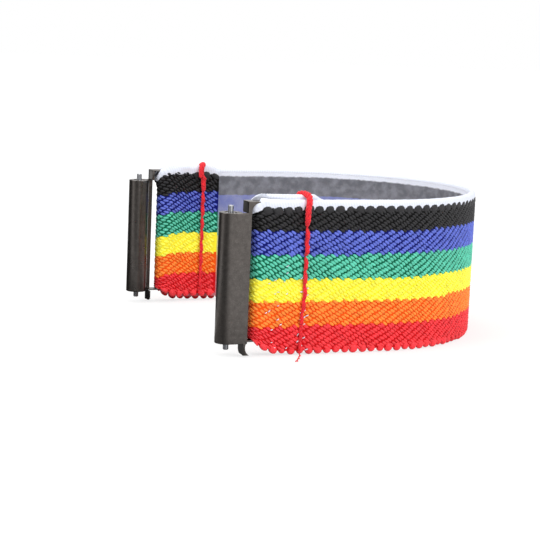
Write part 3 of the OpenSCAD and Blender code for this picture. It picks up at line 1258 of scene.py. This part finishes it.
        # The row of stitches presses the floats beside it in.
        pressed = np.exp(-((np.abs(x) - path.outer_s(SIZES.row_x)) / WEAVE.press_wid) ** 2)
        shares = (read(WEAVE.len_share, np.abs(x)), 1 - (1 - WEAVE.drawn_wid) * drawn,
                  (1 - (1 - WEAVE.drawn_rise) * drawn) * (1 - WEAVE.press_flat * pressed))
        size = np.stack([full * (1 + rng.normal(0, uneven, count)) * share for full, uneven, share in zip(
            (WEAVE.half_len, WEAVE.half_wid, WEAVE.rise), (spread.length, spread.width, spread.height),
            shares)], axis=-1)
        level = WEAVE.ground - WEAVE.press_deep * pressed
        parts = [self.beads(name, self.bead, middles, turn, size, level, WEAVE.dive, rng.random(count))]
        if stripe in (1, last):
            parts += self.edge_row(name, MOUNDS if stripe == 1 else KNOBS, across, rng)
        obj = join(name, parts)
        paint(obj, self.finishes.yarn[STRIPES[stripe].name])
        return obj

    def edge_row(self, name: str, row: EdgeRow, across: tuple[float, float],
                 rng: np.random.Generator) -> list[bpy.types.Object]:
        """Makes the round mounds or knobs of one length of an edge.

        Args:
            name: name of the piece that they belong to.
            row: their sizes.
            across: least and greatest place along the webbing.
            rng: source of the small differences between them.

        Returns:
            A list with the piece, or nothing where there is no mound.
        """
        x = np.arange(math.ceil(across[0] / row.spacing), math.ceil(across[1] / row.spacing)) * row.spacing
        place = self.shape.path.fold_at - np.abs(x)
        drawn_in = np.zeros(len(x))
        if row is MOUNDS:
            # The edge cord covers them where the webbing turns back.
            kept = (place > 0.2) | (place < -8.0)
            x, drawn_in = x[kept], 0.3 * (1 - smoothstep(place[kept], 2.0, 7.0))
        count = len(x)
        if count == 0:
            return []
        spread = EDGE_SPREAD
        x = x + rng.normal(0, spread.along, count)
        swell = 1 + rng.normal(0, spread.length, count)
        middles = np.stack([x, row.height - drawn_in + rng.normal(0, spread.up, count)], axis=-1)
        sizes = np.array([[row.half_len, row.half_wid, row.rise]]) * swell[:, None]
        turn = math.pi / 2 + row.lean + rng.normal(0, spread.turn, count)
        level, tones = np.full(count, row.level), rng.random(count)
        return [self.beads(f"{name}_{row.word}", self.knob, middles, turn, sizes, level, 0.0, tones)]

    def slivers(self, name: str) -> bpy.types.Object:
        """Makes the short bits of white core cover that show between the floats near the connector.

        Args:
            name: name of the piece.

        Returns:
            The piece.
        """
        rng = np.random.default_rng(WEAVE.seed + (3 if self.side is Side.NEAR else 4))
        fold_at = self.shape.path.fold_at
        spots = WEAVE.centres(self.across(*(fold_at - reach for reach in BITS.reach)), BITS.heights)
        # They lie between two floats of a row, so half a step along from a float's end.
        spots = spots + np.array(BITS.beside)
        near = fold_at - np.abs(spots[:, 0])
        low, high = BITS.by_thread
        by_thread = (near > low) & (near < high) & (spots[:, 1] < BITS.thread_top)
        share = BITS.fold_share * (near < BITS.by_fold) + BITS.thread_share * by_thread
        kept = rng.random(len(spots)) < share
        spots, count = spots[kept], kept.sum()
        size = np.array([BITS.size]) * (1 + rng.normal(0, BITS.size_spread, (count, 3)))
        size[near[kept] > BITS.long_from] *= BITS.longer
        turn = rng.normal(BITS.turn, BITS.turn_spread, count)
        level = np.full(count, WEAVE.ground + BITS.proud)
        obj = self.beads(name, self.bead, spots, turn, size, level, 0.0, rng.random(count))
        paint(obj, self.finishes.yarn_white)
        return obj

    def build(self) -> list[bpy.types.Object]:
        """Makes the span and the hem, and ties the hem's pieces to the hem's body.

        Returns:
            Their pieces.
        """
        path, word = self.shape.path, self.side.word
        seam = path.outer_s(SIZES.hem_body_end)
        out = []
        for part, s_from, s_to in (("webbing", 0.0, seam), ("hem", seam, path.end_at - 0.05)):
            ground = self.ground(f"{word}_{part}_ground", s_from, s_to)
            pieces = [ground, self.selvedge(f"{word}_{part}_selvedge", s_from, s_to)]
            pieces += [self.yarns(f"{word}_{part}_{STRIPES[k].name}", k, s_from, min(s_to, path.end_at - 0.5))
                       for k in range(1, len(STRIPES))]
            if part == "hem":
                pieces.append(self.slivers(f"{word}_hem_core_cover"))
                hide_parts(f"webbing_{word}_hem")
            elif self.side is Side.NEAR:
                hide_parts("webbing_near_span", "webbing_loop")
            else:
                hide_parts("webbing_far_span")
            for piece in pieces:
                if part == "hem":
                    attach(piece, f"{word}_hem")
                else:
                    tie_span(piece)
            out += pieces
        return out


@dataclass
class HemThread:
    """Row of thick stitches through both layers of one hem, with a loop over the upper edge."""

    side: Side
    shape: StrapShape
    finishes: Finishes
    lay_len: float = 1.9
    step: float = 0.12
    phases: tuple[float, ...] = (0.0, 2.1, 4.2)
    ply_out: float = 0.45
    ply_r: float = 0.58
    pinch_len: float = 0.45
    first_leg: float = 4.2
    pulled: tuple[float, float] = (7.7, 3.3)
    pulled_in: float = 0.45
    leg_in: float = 0.1
    upper_from: float = 3.5
    upper_out: float = 0.42
    lower_out: float = 0.3
    half_gap: float = 0.4
    inside_lean: Triples = ((0.05, 0.34, 0.7), (0.0, -0.05, 0.0), (-0.05, 0.34, -0.7))
    route: Pairs = (
        (-11.6, 11.25), (-6.2, 11.4), (-2.7, 11.75), (-0.2, 11.68), (3.2, 11.72), (5.0, 11.76), (6.8, 11.69),
        (7.7, 11.82), (8.6, 11.74), (9.7, 11.6), (10.7, 11.56), (11.9, 11.65))
    thick: Pairs = (
        (-12.0, 0.16), (-10.5, 0.24), (-7.0, 0.3), (-2.0, 0.33), (3.0, 0.33), (5.5, 0.38), (7.6, 0.34),
        (8.8, 0.44), (10.7, 0.47), (13.2, 0.52))
    pinches: Pairs = (
        (7.7, 0.4), (5.5, 0.2), (3.3, 0.5), (1.1, 0.3), (-1.1, 0.3), (-3.3, 0.2), (-5.5, 0.3), (-7.7, 0.2))
    # Places along the band, outward from the outer face or inward from the inner one, and up from an edge.
    over_edge: Triples = (
        (11.2, 0.35, -1.4), (11.15, 0.5, 0.1), (11.35, 0.2, 0.65), (11.8, -0.6, 0.75))
    down_face: Triples = (
        (12.0, -0.4, 0.55), (11.85, 0.35, -0.2), (11.62, 0.45, -1.5))
    tail: Triples = (
        (11.27, 0.2, 0.9), (11.22, 0.45, 0.45), (11.05, 1.0, 0.22), (10.6, 1.9, 0.17), (10.0, 3.0, 0.16),
        (9.35, 4.2, 0.16), (8.7, 5.2, 0.18))

    def strand(self, points: list[tuple[float, float, float]], phase: float) -> bpy.types.Object:
        """Makes one ply wound round a line of points, thinner towards the lower edge.

        Args:
            points: the line in millimetres on the near side, x, y and z from mid-height.
            phase: start angle of the twist.

        Returns:
            The ply as a mesh object.
        """
        line = np.array(points)
        steps = np.r_[0.0, np.cumsum(np.linalg.norm(np.diff(line, axis=0), axis=1))]
        fine = np.linspace(0.0, steps[-1], max(8, int(steps[-1] / self.step)))
        mid = np.stack([np.interp(fine, steps, line[:, k]) for k in range(3)], axis=-1)
        kernel = np.array([1.0, 2.0, 3.0, 2.0, 1.0]) / 9.0
        padded = np.pad(mid, ((2, 2), (0, 0)), mode="edge")
        mid = np.stack([np.convolve(padded[:, k], kernel, mode="valid") for k in range(3)], axis=-1)
        ahead = np.gradient(mid, axis=0)
        ahead /= np.linalg.norm(ahead, axis=1)[:, None]
        first = np.cross(ahead, np.array([1.0, 0.0, 0.0]))
        first /= np.linalg.norm(first, axis=1)[:, None]
        half = read(self.thick, mid[:, 2])
        for leg, depth in self.pinches:
            half *= 1 - depth * np.exp(-((mid[:, 2] - leg) / self.pinch_len) ** 2)
        angle = (phase + 2 * np.pi * fine / self.lay_len)[:, None]
        outward = np.cos(angle) * first + np.sin(angle) * np.cross(ahead, first)
        ply = mid + (self.ply_out * half)[:, None] * outward
        return wire("ply", ply * np.array([1.0, -self.side.value, 1.0]), self.ply_r * half, 2)

    def build(self) -> bpy.types.Object:
        """Makes the thread and ties it to the hem.

        Returns:
            The piece.
        """
        word, z = self.side.word, SIZES
        outer, inner = -z.loop_r - z.webbing_t / 2, -z.loop_r + z.webbing_t * 1.5
        legs = [z.half_w - self.first_leg - z.core_pitch * k for k in range(z.core_n)]
        outside = [(x, inner + y, z.half_w + up) for x, y, up in self.over_edge]
        outside += [(x, outer - y, z.half_w + up) for x, y, up in self.down_face]
        outside.append((11.62, outer - 0.42, legs[0] + 1.1))
        for top, low in zip(legs, legs[1:] + [-z.half_w + 0.4]):
            # Two stitches are pulled deep into the webbing, and the uppermost ones stand out the most.
            deep = self.pulled_in if min(abs(top - leg) for leg in self.pulled) < 0.3 else self.leg_in
            proud = self.upper_out if top > self.upper_from else self.lower_out
            outside.append((read(self.route, top), outer + deep, top))
            if top - low > 3 * self.half_gap:
                for up in ((top + low) / 2 + self.half_gap, (top + low) / 2 - self.half_gap):
                    outside.append((read(self.route, up), outer - proud, up))
        outside.append((read(self.route, -z.half_w), outer - 0.25, -z.half_w + 0.5))
        inside = [(11.3, inner + 0.3, z.half_w - 1.5)]
        for top in [z.half_w - 2.2] + legs:
            inside += [(z.row_x + x, inner + deep, top + up) for x, deep, up in self.inside_lean]
        plies = [self.strand(line, phase) for line in (outside, inside) for phase in self.phases]
        plies.append(self.strand([(x, outer - y, up - z.half_w) for x, y, up in self.tail], 0.0))
        obj = join(f"{word}_stitches", plies)
        paint(obj, self.finishes.thread)
        finish_mesh(obj)
        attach(obj, f"{word}_hem")
        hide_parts(f"{word}_hem_thread")
        return obj


@dataclass
class Connector:
    """Bent sheet-metal connector: rolled knuckle, flat plate, two ears and the cross bar."""

    side: Side
    finishes: Finishes
    bevel: float = 0.12
    fine_bevel: float = 0.06
    lip_t: float = 0.22
    lip_up: float = 0.33
    inset: float = 0.1
    leg_set: float = 0.2
    claw_set: float = 0.32
    proud: float = 0.012
    sunk: float = 0.3
    overlap: float = 0.05
    facets: int = 72
    opening: tuple[float, float] = (271.0, 334.0)

    @property
    def ends(self) -> tuple[float, float, float]:
        """Back of the ears along the band, and outer and inner side of their legs across it."""
        z = SIZES
        return z.plate_edge - z.ear_t, -z.bar_y - z.knuckle_r, -z.bar_y + z.lip_r - self.inset

    @staticmethod
    def pick(mesh: bpy.types.Mesh, centre: Vector, low: float, high: float) -> None:
        """Selects the vertices between two angles round a centre.

        Args:
            mesh: mesh to select in.
            centre: the centre, in metres.
            low: least angle in degrees.
            high: greatest angle.
        """
        for vert in mesh.vertices:
            d = vert.co - centre
            vert.select = low < math.degrees(math.atan2(d.y, d.x)) % 360 < high

    def rolled_plate(self) -> bpy.types.Object:
        """Makes the plate and the knuckle from a ring, opened, run out straight and raised.

        Returns:
            The piece.
        """
        z = SIZES
        centre = Vector(in_frame(0.0, -z.bar_y, -z.plate_half))
        bpy.ops.object.select_all(action="DESELECT")
        bpy.ops.mesh.primitive_circle_add(vertices=self.facets, fill_type="NOTHING", location=centre,
                                          radius=(z.knuckle_r - z.sheet_t / 2) * MM)
        bpy.ops.object.transform_apply(location=True, rotation=True, scale=True)
        obj = bpy.context.view_layer.objects.active
        with edit_mode():
            bpy.ops.mesh.select_mode(type="VERT")
            bpy.ops.mesh.select_all(action="DESELECT")
        self.pick(obj.data, centre, *self.opening)
        bpy.ops.object.mode_set(mode="EDIT")
        bpy.ops.mesh.delete(type="VERT")
        bpy.ops.mesh.select_all(action="DESELECT")
        bpy.ops.object.mode_set(mode="OBJECT")
        self.pick(obj.data, centre, self.opening[0] - 3, self.opening[0])
        bpy.ops.object.mode_set(mode="EDIT")
        bpy.ops.mesh.extrude_region_move(TRANSFORM_OT_translate={"value": (z.plate_edge * MM, 0.0, 0.0)})
        bpy.ops.mesh.select_all(action="SELECT")
        bpy.ops.mesh.extrude_region_move(
            TRANSFORM_OT_translate={"value": (0.0, 0.0, 2 * z.plate_half * MM)})
        bpy.ops.object.mode_set(mode="OBJECT")
        apply_modifier(obj, "SOLIDIFY", thickness=z.sheet_t * MM, offset=0.0, use_even_offset=True)
        apply_modifier(obj, "BEVEL", width=self.bevel * MM, segments=3, angle_limit=math.radians(50))
        return obj

    def prism(self, outline: list[tuple[float, float]], plane: str, low: float,
              high: float) -> bpy.types.Object:
        """Makes a piece of sheet from an outline, raised to its thickness and with its edges broken.

        Args:
            outline: corners in millimetres, from the spring bar and mid-height.
            plane: the two axes of the outline, "XZ", "YZ" or "XY".
            low: start of the thickness along the third axis.
            high: end of the thickness.

        Returns:
            The piece.
        """
        third = {"XZ": 1, "YZ": 0, "XY": 2}[plane]
        first, second = [k for k in range(3) if k != third]
        bpy.ops.object.select_all(action="DESELECT")
        bpy.ops.mesh.primitive_circle_add(vertices=len(outline), radius=1.0, fill_type="NGON")
        obj = bpy.context.view_layer.objects.active
        point, move = [0.0, 0.0, low], [0.0, 0.0, 0.0]
        for vert, (a, b) in zip(obj.data.vertices, outline):
            point[first], point[second], point[third] = a, b, low
            vert.co = in_frame(*point)
        move[third] = (high - low) * MM
        with edit_mode():
            bpy.ops.mesh.extrude_region_move(TRANSFORM_OT_translate={"value": tuple(move)})
            bpy.ops.mesh.select_all(action="SELECT")
            bpy.ops.mesh.normals_make_consistent(inside=False)
        apply_modifier(obj, "BEVEL", width=self.fine_bevel * MM, segments=2, angle_limit=math.radians(40))
        return obj

    @staticmethod
    def arc(x: float, z: float, r: float, start: float, end: float, steps: int) -> list[tuple[float, float]]:
        """Points on an arc from one angle to another, in degrees."""
        turns = [math.radians(start + (end - start) * k / steps) for k in range(steps + 1)]
        return [(x + r * math.cos(t), z + r * math.sin(t)) for t in turns]

    def lip(self, high: float) -> bpy.types.Object:
        """Makes the flat lip that reaches from an ear's leg round the cross bar.

        Args:
            high: height of its top, in millimetres from mid-height.

        Returns:
            The piece.
        """
        z, (back, outer, inner) = SIZES, self.ends
        a, b, c = (z.plate_edge, outer + z.ear_t), (back, inner), (z.cross_x, -z.bar_y)
        turns = []
        for corner, sign in ((a, -1), (b, 1)):
            straight = math.atan2(c[1] - corner[1], c[0] - corner[0])
            turns.append(math.degrees(straight + sign * math.asin(z.lip_r / math.dist(corner, c))))
        outline = [(back, a[1]), a] + self.arc(*c, z.lip_r, turns[0] - 90, turns[1] + 90, 24) + [b]
        return self.prism(outline, "XY", high - self.lip_t, high)

    def upper_ear(self) -> list[bpy.types.Object]:
        """Makes the upper ear: its front with a hollow under the lip, its leg and its lip.

        Returns:
            The ear's pieces.
        """
        z, (back, outer, inner) = SIZES, self.ends
        foot, round_x = z.plate_half - self.sunk, z.plate_edge + z.hollow_r
        front = [(back, foot), (back, z.ear_out), (round_x, z.ear_out)]
        front += self.arc(round_x, z.ear_out - self.lip_t - z.hollow_r, z.hollow_r, 90, 180, 12)
        front.append((z.plate_edge, foot))
        # The pieces run into one another, with no two faces in one plane.
        low, top = z.plate_half - 0.02, z.ear_out - 0.04
        leg = [(outer + 0.1, low), (inner, low), (inner, top), (outer + 0.1, top)]
        return [self.prism(front, "XZ", outer - self.proud, outer + z.ear_t),
                self.prism(leg, "YZ", back, z.plate_edge - self.leg_set), self.lip(z.ear_out)]

    def lower_ear(self) -> list[bpy.types.Object]:
        """Makes the lower ear: a claw whose front ends in a point, its leg with a round heel, and its lip.

        Returns:
            The ear's pieces.
        """
        z, (back, outer, inner) = SIZES, self.ends
        reach = math.degrees(math.asin((z.ear_out - z.claw_z) / z.claw_r))
        rest = math.degrees(math.acos((z.claw_x - z.plate_edge) / z.claw_r))
        foot = -z.plate_half + self.sunk
        front = [(back, foot), (back, -z.ear_out)]
        front += self.arc(z.claw_x, -z.claw_z, z.claw_r, 180 + reach, 180 - rest, 14)
        front.append((z.plate_edge, foot))
        top, low = -z.plate_half + 0.02, -z.ear_out + 0.03
        leg = [(outer + 0.1, top), (outer + 0.1, low)]
        leg += self.arc(inner - z.lip_r, low + z.lip_r, z.lip_r, -90, 0, 10) + [(inner, top)]
        return [self.prism(front, "XZ", outer - self.proud, outer + z.ear_t),
                self.prism(leg, "YZ", back + 0.01, z.plate_edge - self.claw_set),
                self.lip(-z.low_in + self.lip_up)]

    def cross_bar(self) -> bpy.types.Object:
        """Makes the round cross bar between the lips.

        Returns:
            The piece.
        """
        z = SIZES
        low, high = -z.low_in + self.lip_up - self.overlap, z.ear_out - self.lip_t + self.overlap
        bpy.ops.object.select_all(action="DESELECT")
        bpy.ops.mesh.primitive_cylinder_add(vertices=32, radius=z.cross_r * MM, depth=(high - low) * MM,
                                            location=in_frame(z.cross_x, -z.bar_y, (high + low) / 2))
        bpy.ops.object.transform_apply(location=True, rotation=True, scale=True)
        return bpy.context.view_layer.objects.active

    def build(self) -> bpy.types.Object:
        """Makes the connector and ties it to its body.

        Returns:
            The piece.
        """
        word = self.side.word
        parts = [self.rolled_plate(), *self.upper_ear(), *self.lower_ear(), self.cross_bar()]
        obj = join(f"{word}_connector_sheet", parts)
        move_to(obj.data, coordinates(obj.data) * np.array([1.0, -self.side.value, 1.0]))
        paint(obj, self.finishes.gunmetal)
        finish_mesh(obj, 40)
        apply_modifier(obj, "WEIGHTED_NORMAL", keep_sharp=True)
        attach(obj, f"{word}_connector")
        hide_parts(f"{word}_connector")
        return obj


@dataclass
class CoreThreads:
    """Square-cut rubber threads inside the webbing of one side."""

    side: Side
    shape: StrapShape
    finishes: Finishes

    def run(self, name: str, s_from: float, s_to: float) -> bpy.types.Object:
        """Makes the threads of one length of webbing.

        Args:
            name: name of the piece.
            s_from: start along the path.
            s_to: end along the path.

        Returns:
            The piece, with one closed thread for each core.
        """
        parts = []
        for k in range(SIZES.core_n):
            part = slab(max(4, round((s_to - s_from) / 0.5)), 1)
            flat = coordinates(part.data)
            s = s_from + (flat[:, 0] + 0.5) * (s_to - s_from)
            v = (k - (SIZES.core_n - 1) / 2) * SIZES.core_pitch + flat[:, 1] * SIZES.core_t
            move_to(part.data, self.shape.place(self.side, s, v, (flat[:, 2] - 0.5) * SIZES.core_t))
            parts.append(part)
        obj = join(name, parts)
        paint(obj, self.finishes.rubber)
        finish_mesh(obj, 40)
        return obj

    def build(self) -> list[bpy.types.Object]:
        """Makes the threads of the span and of the hem, and ties the hem's threads to the hem's body.

        Returns:
            Both pieces.
        """
        path, word = self.shape.path, self.side.word
        seam = path.outer_s(SIZES.hem_body_end)
        span = self.run(f"{word}_core_threads", 0.0, seam)
        hem = self.run(f"{word}_hem_core_threads", seam, path.end_at)
        tie_span(span)
        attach(hem, f"{word}_hem")
        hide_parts(f"cores_{word}_hem")
        if self.side is Side.NEAR:
            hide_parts("cores_near_span", "cores_loop")
        else:
            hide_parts("cores_far_span")
        return [span, hem]


@dataclass
class SpringBar:
    """Spring bar of one side: tube and pins of turned steel, and the coil of steel wire in two halves."""

    side: Side
    finishes: Finishes
    nodes: tuple[str, ...] = ("bar_tube", "upper_pin", "lower_pin")
    coil_r: float = 0.45
    coil_reach: float = 6.83
    head_in: float = 6.95
    turns: int = 18
    steps: int = 12
    wire_r: float = 0.1

    def half_coil(self, upward: int) -> bpy.types.Object:
        """Makes the wire from the middle of the coil to one pin's head.

        Args:
            upward: 1 for the upper half and -1 for the lower.

        Returns:
            The half as a piece.
        """
        word, y = self.side.word, self.side.value * SIZES.bar_y
        end = "upper" if upward > 0 else "lower"
        share = np.linspace(0.0, 1.0, self.turns * self.steps + 1)
        angle = upward * math.pi * self.turns * share
        line = np.stack([self.coil_r * np.cos(angle), y + self.coil_r * np.sin(angle),
                         upward * self.coil_reach * share], axis=-1)
        obj = wire(f"{word}_coil_{end}_half", line, np.full(len(line), self.wire_r), 1)
        paint(obj, self.finishes.steel)
        finish_mesh(obj)
        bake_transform(obj)
        if upward > 0:
            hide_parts(f"{word}_bar_spring")
        return obj

    def build(self) -> list[bpy.types.Object]:
        """Gives the bar's solids their finish and makes the coil.

        Returns:
            The two halves of the coil.
        """
        for node in self.nodes:
            paint(bpy.data.objects[f"{self.side.word}_{node}"], self.finishes.steel)
        return [self.half_coil(1), self.half_coil(-1)]


@dataclass
class Studio:
    """Pale floor, soft light and the photograph's camera."""

    azimuth: float = math.radians(-21.55)
    elevation: float = math.radians(8.52)
    roll: float = math.radians(2.41)
    place: tuple[float, float, float] = (-105.55, -246.3, 48.8)
    focal_px: float = 1600.6
    sensor: float = 36.0
    aim_z: float = 0.011
    lamp_size: float = 0.5
    ambient: float = 0.43
    floor_share: float = 0.62
    # Where the mirrored brightness changes, by the angle to the left, and by how much.
    bands: Triples = (
        (0.6, 1.15, -0.82), (1.65, 1.85, 0.8), (2.05, 2.25, -0.96))

    def camera(self) -> None:
        """Makes the camera and sets it as the scene's own."""
        a, e, r = self.azimuth, self.elevation, self.roll
        back = Vector((math.sin(a) * math.cos(e), -math.cos(a) * math.cos(e), math.sin(e)))
        right = (-back).cross(Vector((0, 0, 1))).normalized()
        up = right.cross(-back)
        across = math.cos(r) * right + math.sin(r) * up
        upward = -math.sin(r) * right + math.cos(r) * up
        data = bpy.data.cameras.new("camera")
        data.sensor_width = self.sensor
        data.lens = self.sensor * self.focal_px / FRAME_PX
        data.clip_start = 0.01
        data.clip_end = 10.0
        obj = link(bpy.data.objects.new("camera", data))
        turn = Matrix((across, upward, back)).transposed()
        obj.matrix_world = Matrix.Translation(Vector(self.place) * MM) @ turn.to_4x4()
        bpy.context.scene.camera = obj

    def lamp(self, name: str, place: tuple[float, float, float], watts: float) -> None:
        """Makes one square soft lamp aimed at the band.

        Args:
            name: name of the lamp.
            place: where it stands, in metres.
            watts: its power.
        """
        data = bpy.data.lights.new(name, "AREA")
        data.size = self.lamp_size
        data.energy = watts
        obj = link(bpy.data.objects.new(name, data))
        obj.location = place
        aim = Vector((0, 0, self.aim_z)) - Vector(place)
        obj.rotation_euler = aim.to_track_quat("-Z", "Y").to_euler()

    def mirrored(self, m: Nodes, place: bpy.types.NodeSocket) -> bpy.types.NodeSocket:
        """Brightness of the surroundings in the metal: white in front, a pale band and black to the left.

        Args:
            m: node tree that gets the nodes.
            place: socket with a direction or a place on the floor.

        Returns:
            Socket with the brightness.
        """
        x, y, _ = m.add("SeparateXYZ", (place,)).outputs
        sides = []
        # Shares of the direction that the flat plate mirrors, and of the one to its left.
        for part_x, part_y in ((-0.93, -0.367), (0.367, -0.93)):
            share = m.add("Math", (y, part_y), operation="MULTIPLY")
            sides.append(m.add("Math", (x, part_x, share), operation="MULTIPLY_ADD"))
        turn = m.add("Math", sides, operation="ARCTAN2")
        level = 1.0
        for start, end, change in self.bands:
            step = m.add("MapRange", (turn, start, end), interpolation_type="SMOOTHSTEP")
            level = m.add("Math", (step, change, level), operation="MULTIPLY_ADD")
        return m.add("Math", (level, 0.01), operation="MAXIMUM").outputs[0]

    def floor(self) -> None:
        """Makes the white card floor, white to the camera but for a faint shadow near the band."""
        bpy.ops.object.select_all(action="DESELECT")
        bpy.ops.mesh.primitive_plane_add(size=4.0, location=(0, 0, 0))
        obj = bpy.context.view_layer.objects.active
        obj.name = "floor"
        mat = bpy.data.materials.new("white_card")
        mat.use_nodes = True
        mat.node_tree.nodes.clear()
        m = Nodes(mat.node_tree)
        rays, place = m.add("LightPath").outputs, m.add("TexCoord").outputs["Object"]
        seen, gloss = rays["Is Camera Ray"], rays["Is Glossy Ray"]
        away = m.add("VectorMath", (place,), operation="LENGTH").outputs["Value"]
        mirrored = m.add("Math", (gloss, self.mirrored(m, place)), operation="MULTIPLY")
        level = m.add("Math", (seen, 1.15, mirrored), operation="MULTIPLY_ADD")
        far = m.add("MapRange", (away, 0.03, 0.075), interpolation_type="SMOOTHSTEP")
        fade = m.add("Math", (far, 1 - self.floor_share, self.floor_share), operation="MULTIPLY_ADD")
        share = m.add("Math", (seen, fade, gloss), operation="MULTIPLY_ADD")
        card = m.add("BsdfDiffuse", {"Color": (0.8, 0.8, 0.8, 1.0)})
        glow = m.add("Emission", {"Color": WHITE, "Strength": level})
        m.add("OutputMaterial", {"Surface": m.add("MixShader", (share, card, glow))})
        paint(obj, mat)

    def world(self) -> None:
        """Makes the white surroundings, darker to the left as the metal mirrors them."""
        world = bpy.data.worlds.new("surroundings")
        bpy.context.scene.world = world
        world.use_nodes = True
        world.node_tree.nodes.clear()
        m = Nodes(world.node_tree)
        rays = m.add("LightPath").outputs
        soft = m.add("Math", (rays["Is Camera Ray"], 1.0 - self.ambient, self.ambient),
                     operation="MULTIPLY_ADD")
        mirrored = self.mirrored(m, m.add("TexCoord").outputs["Generated"])
        change = m.add("Math", (mirrored, soft), operation="SUBTRACT")
        level = m.add("Math", (rays["Is Glossy Ray"], change, soft), operation="MULTIPLY_ADD")
        m.add("OutputWorld", {"Surface": m.add("Background", {"Color": WHITE, "Strength": level})})

    def build(self) -> None:
        """Makes the whole setting."""
        bpy.context.scene.view_settings.view_transform = "Standard"
        self.camera()
        self.floor()
        self.world()
        self.lamp("key", (0.3, -0.6, 0.5), 4.2)
        self.lamp("fill", (-0.6, -0.05, 0.4), 2.6)
        self.lamp("top", (-0.1, 0.1, 0.7), 2.0)


def main() -> None:
    """Builds every piece of the band and its setting, in order."""
    logging.basicConfig(level=logging.INFO, format="%(name)s: %(message)s")
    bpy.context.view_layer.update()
    Studio().build()
    finishes = Finishes()
    shape = StrapShape(SIZES, StrapPath(SIZES))
    bead, knob = Bead(), Bead(12, 8, 2.5)
    for side in Side:
        pieces = Webbing(side, shape, finishes, bead, knob).build()
        pieces += CoreThreads(side, shape, finishes).build()
        pieces.append(HemThread(side, shape, finishes).build())
        pieces.append(Connector(side, finishes).build())
        pieces += SpringBar(side, finishes).build()
        for piece in pieces:
            log.info("%s: %d faces", piece.name, len(piece.data.polygons))


if __name__ == "__main__":
    main()
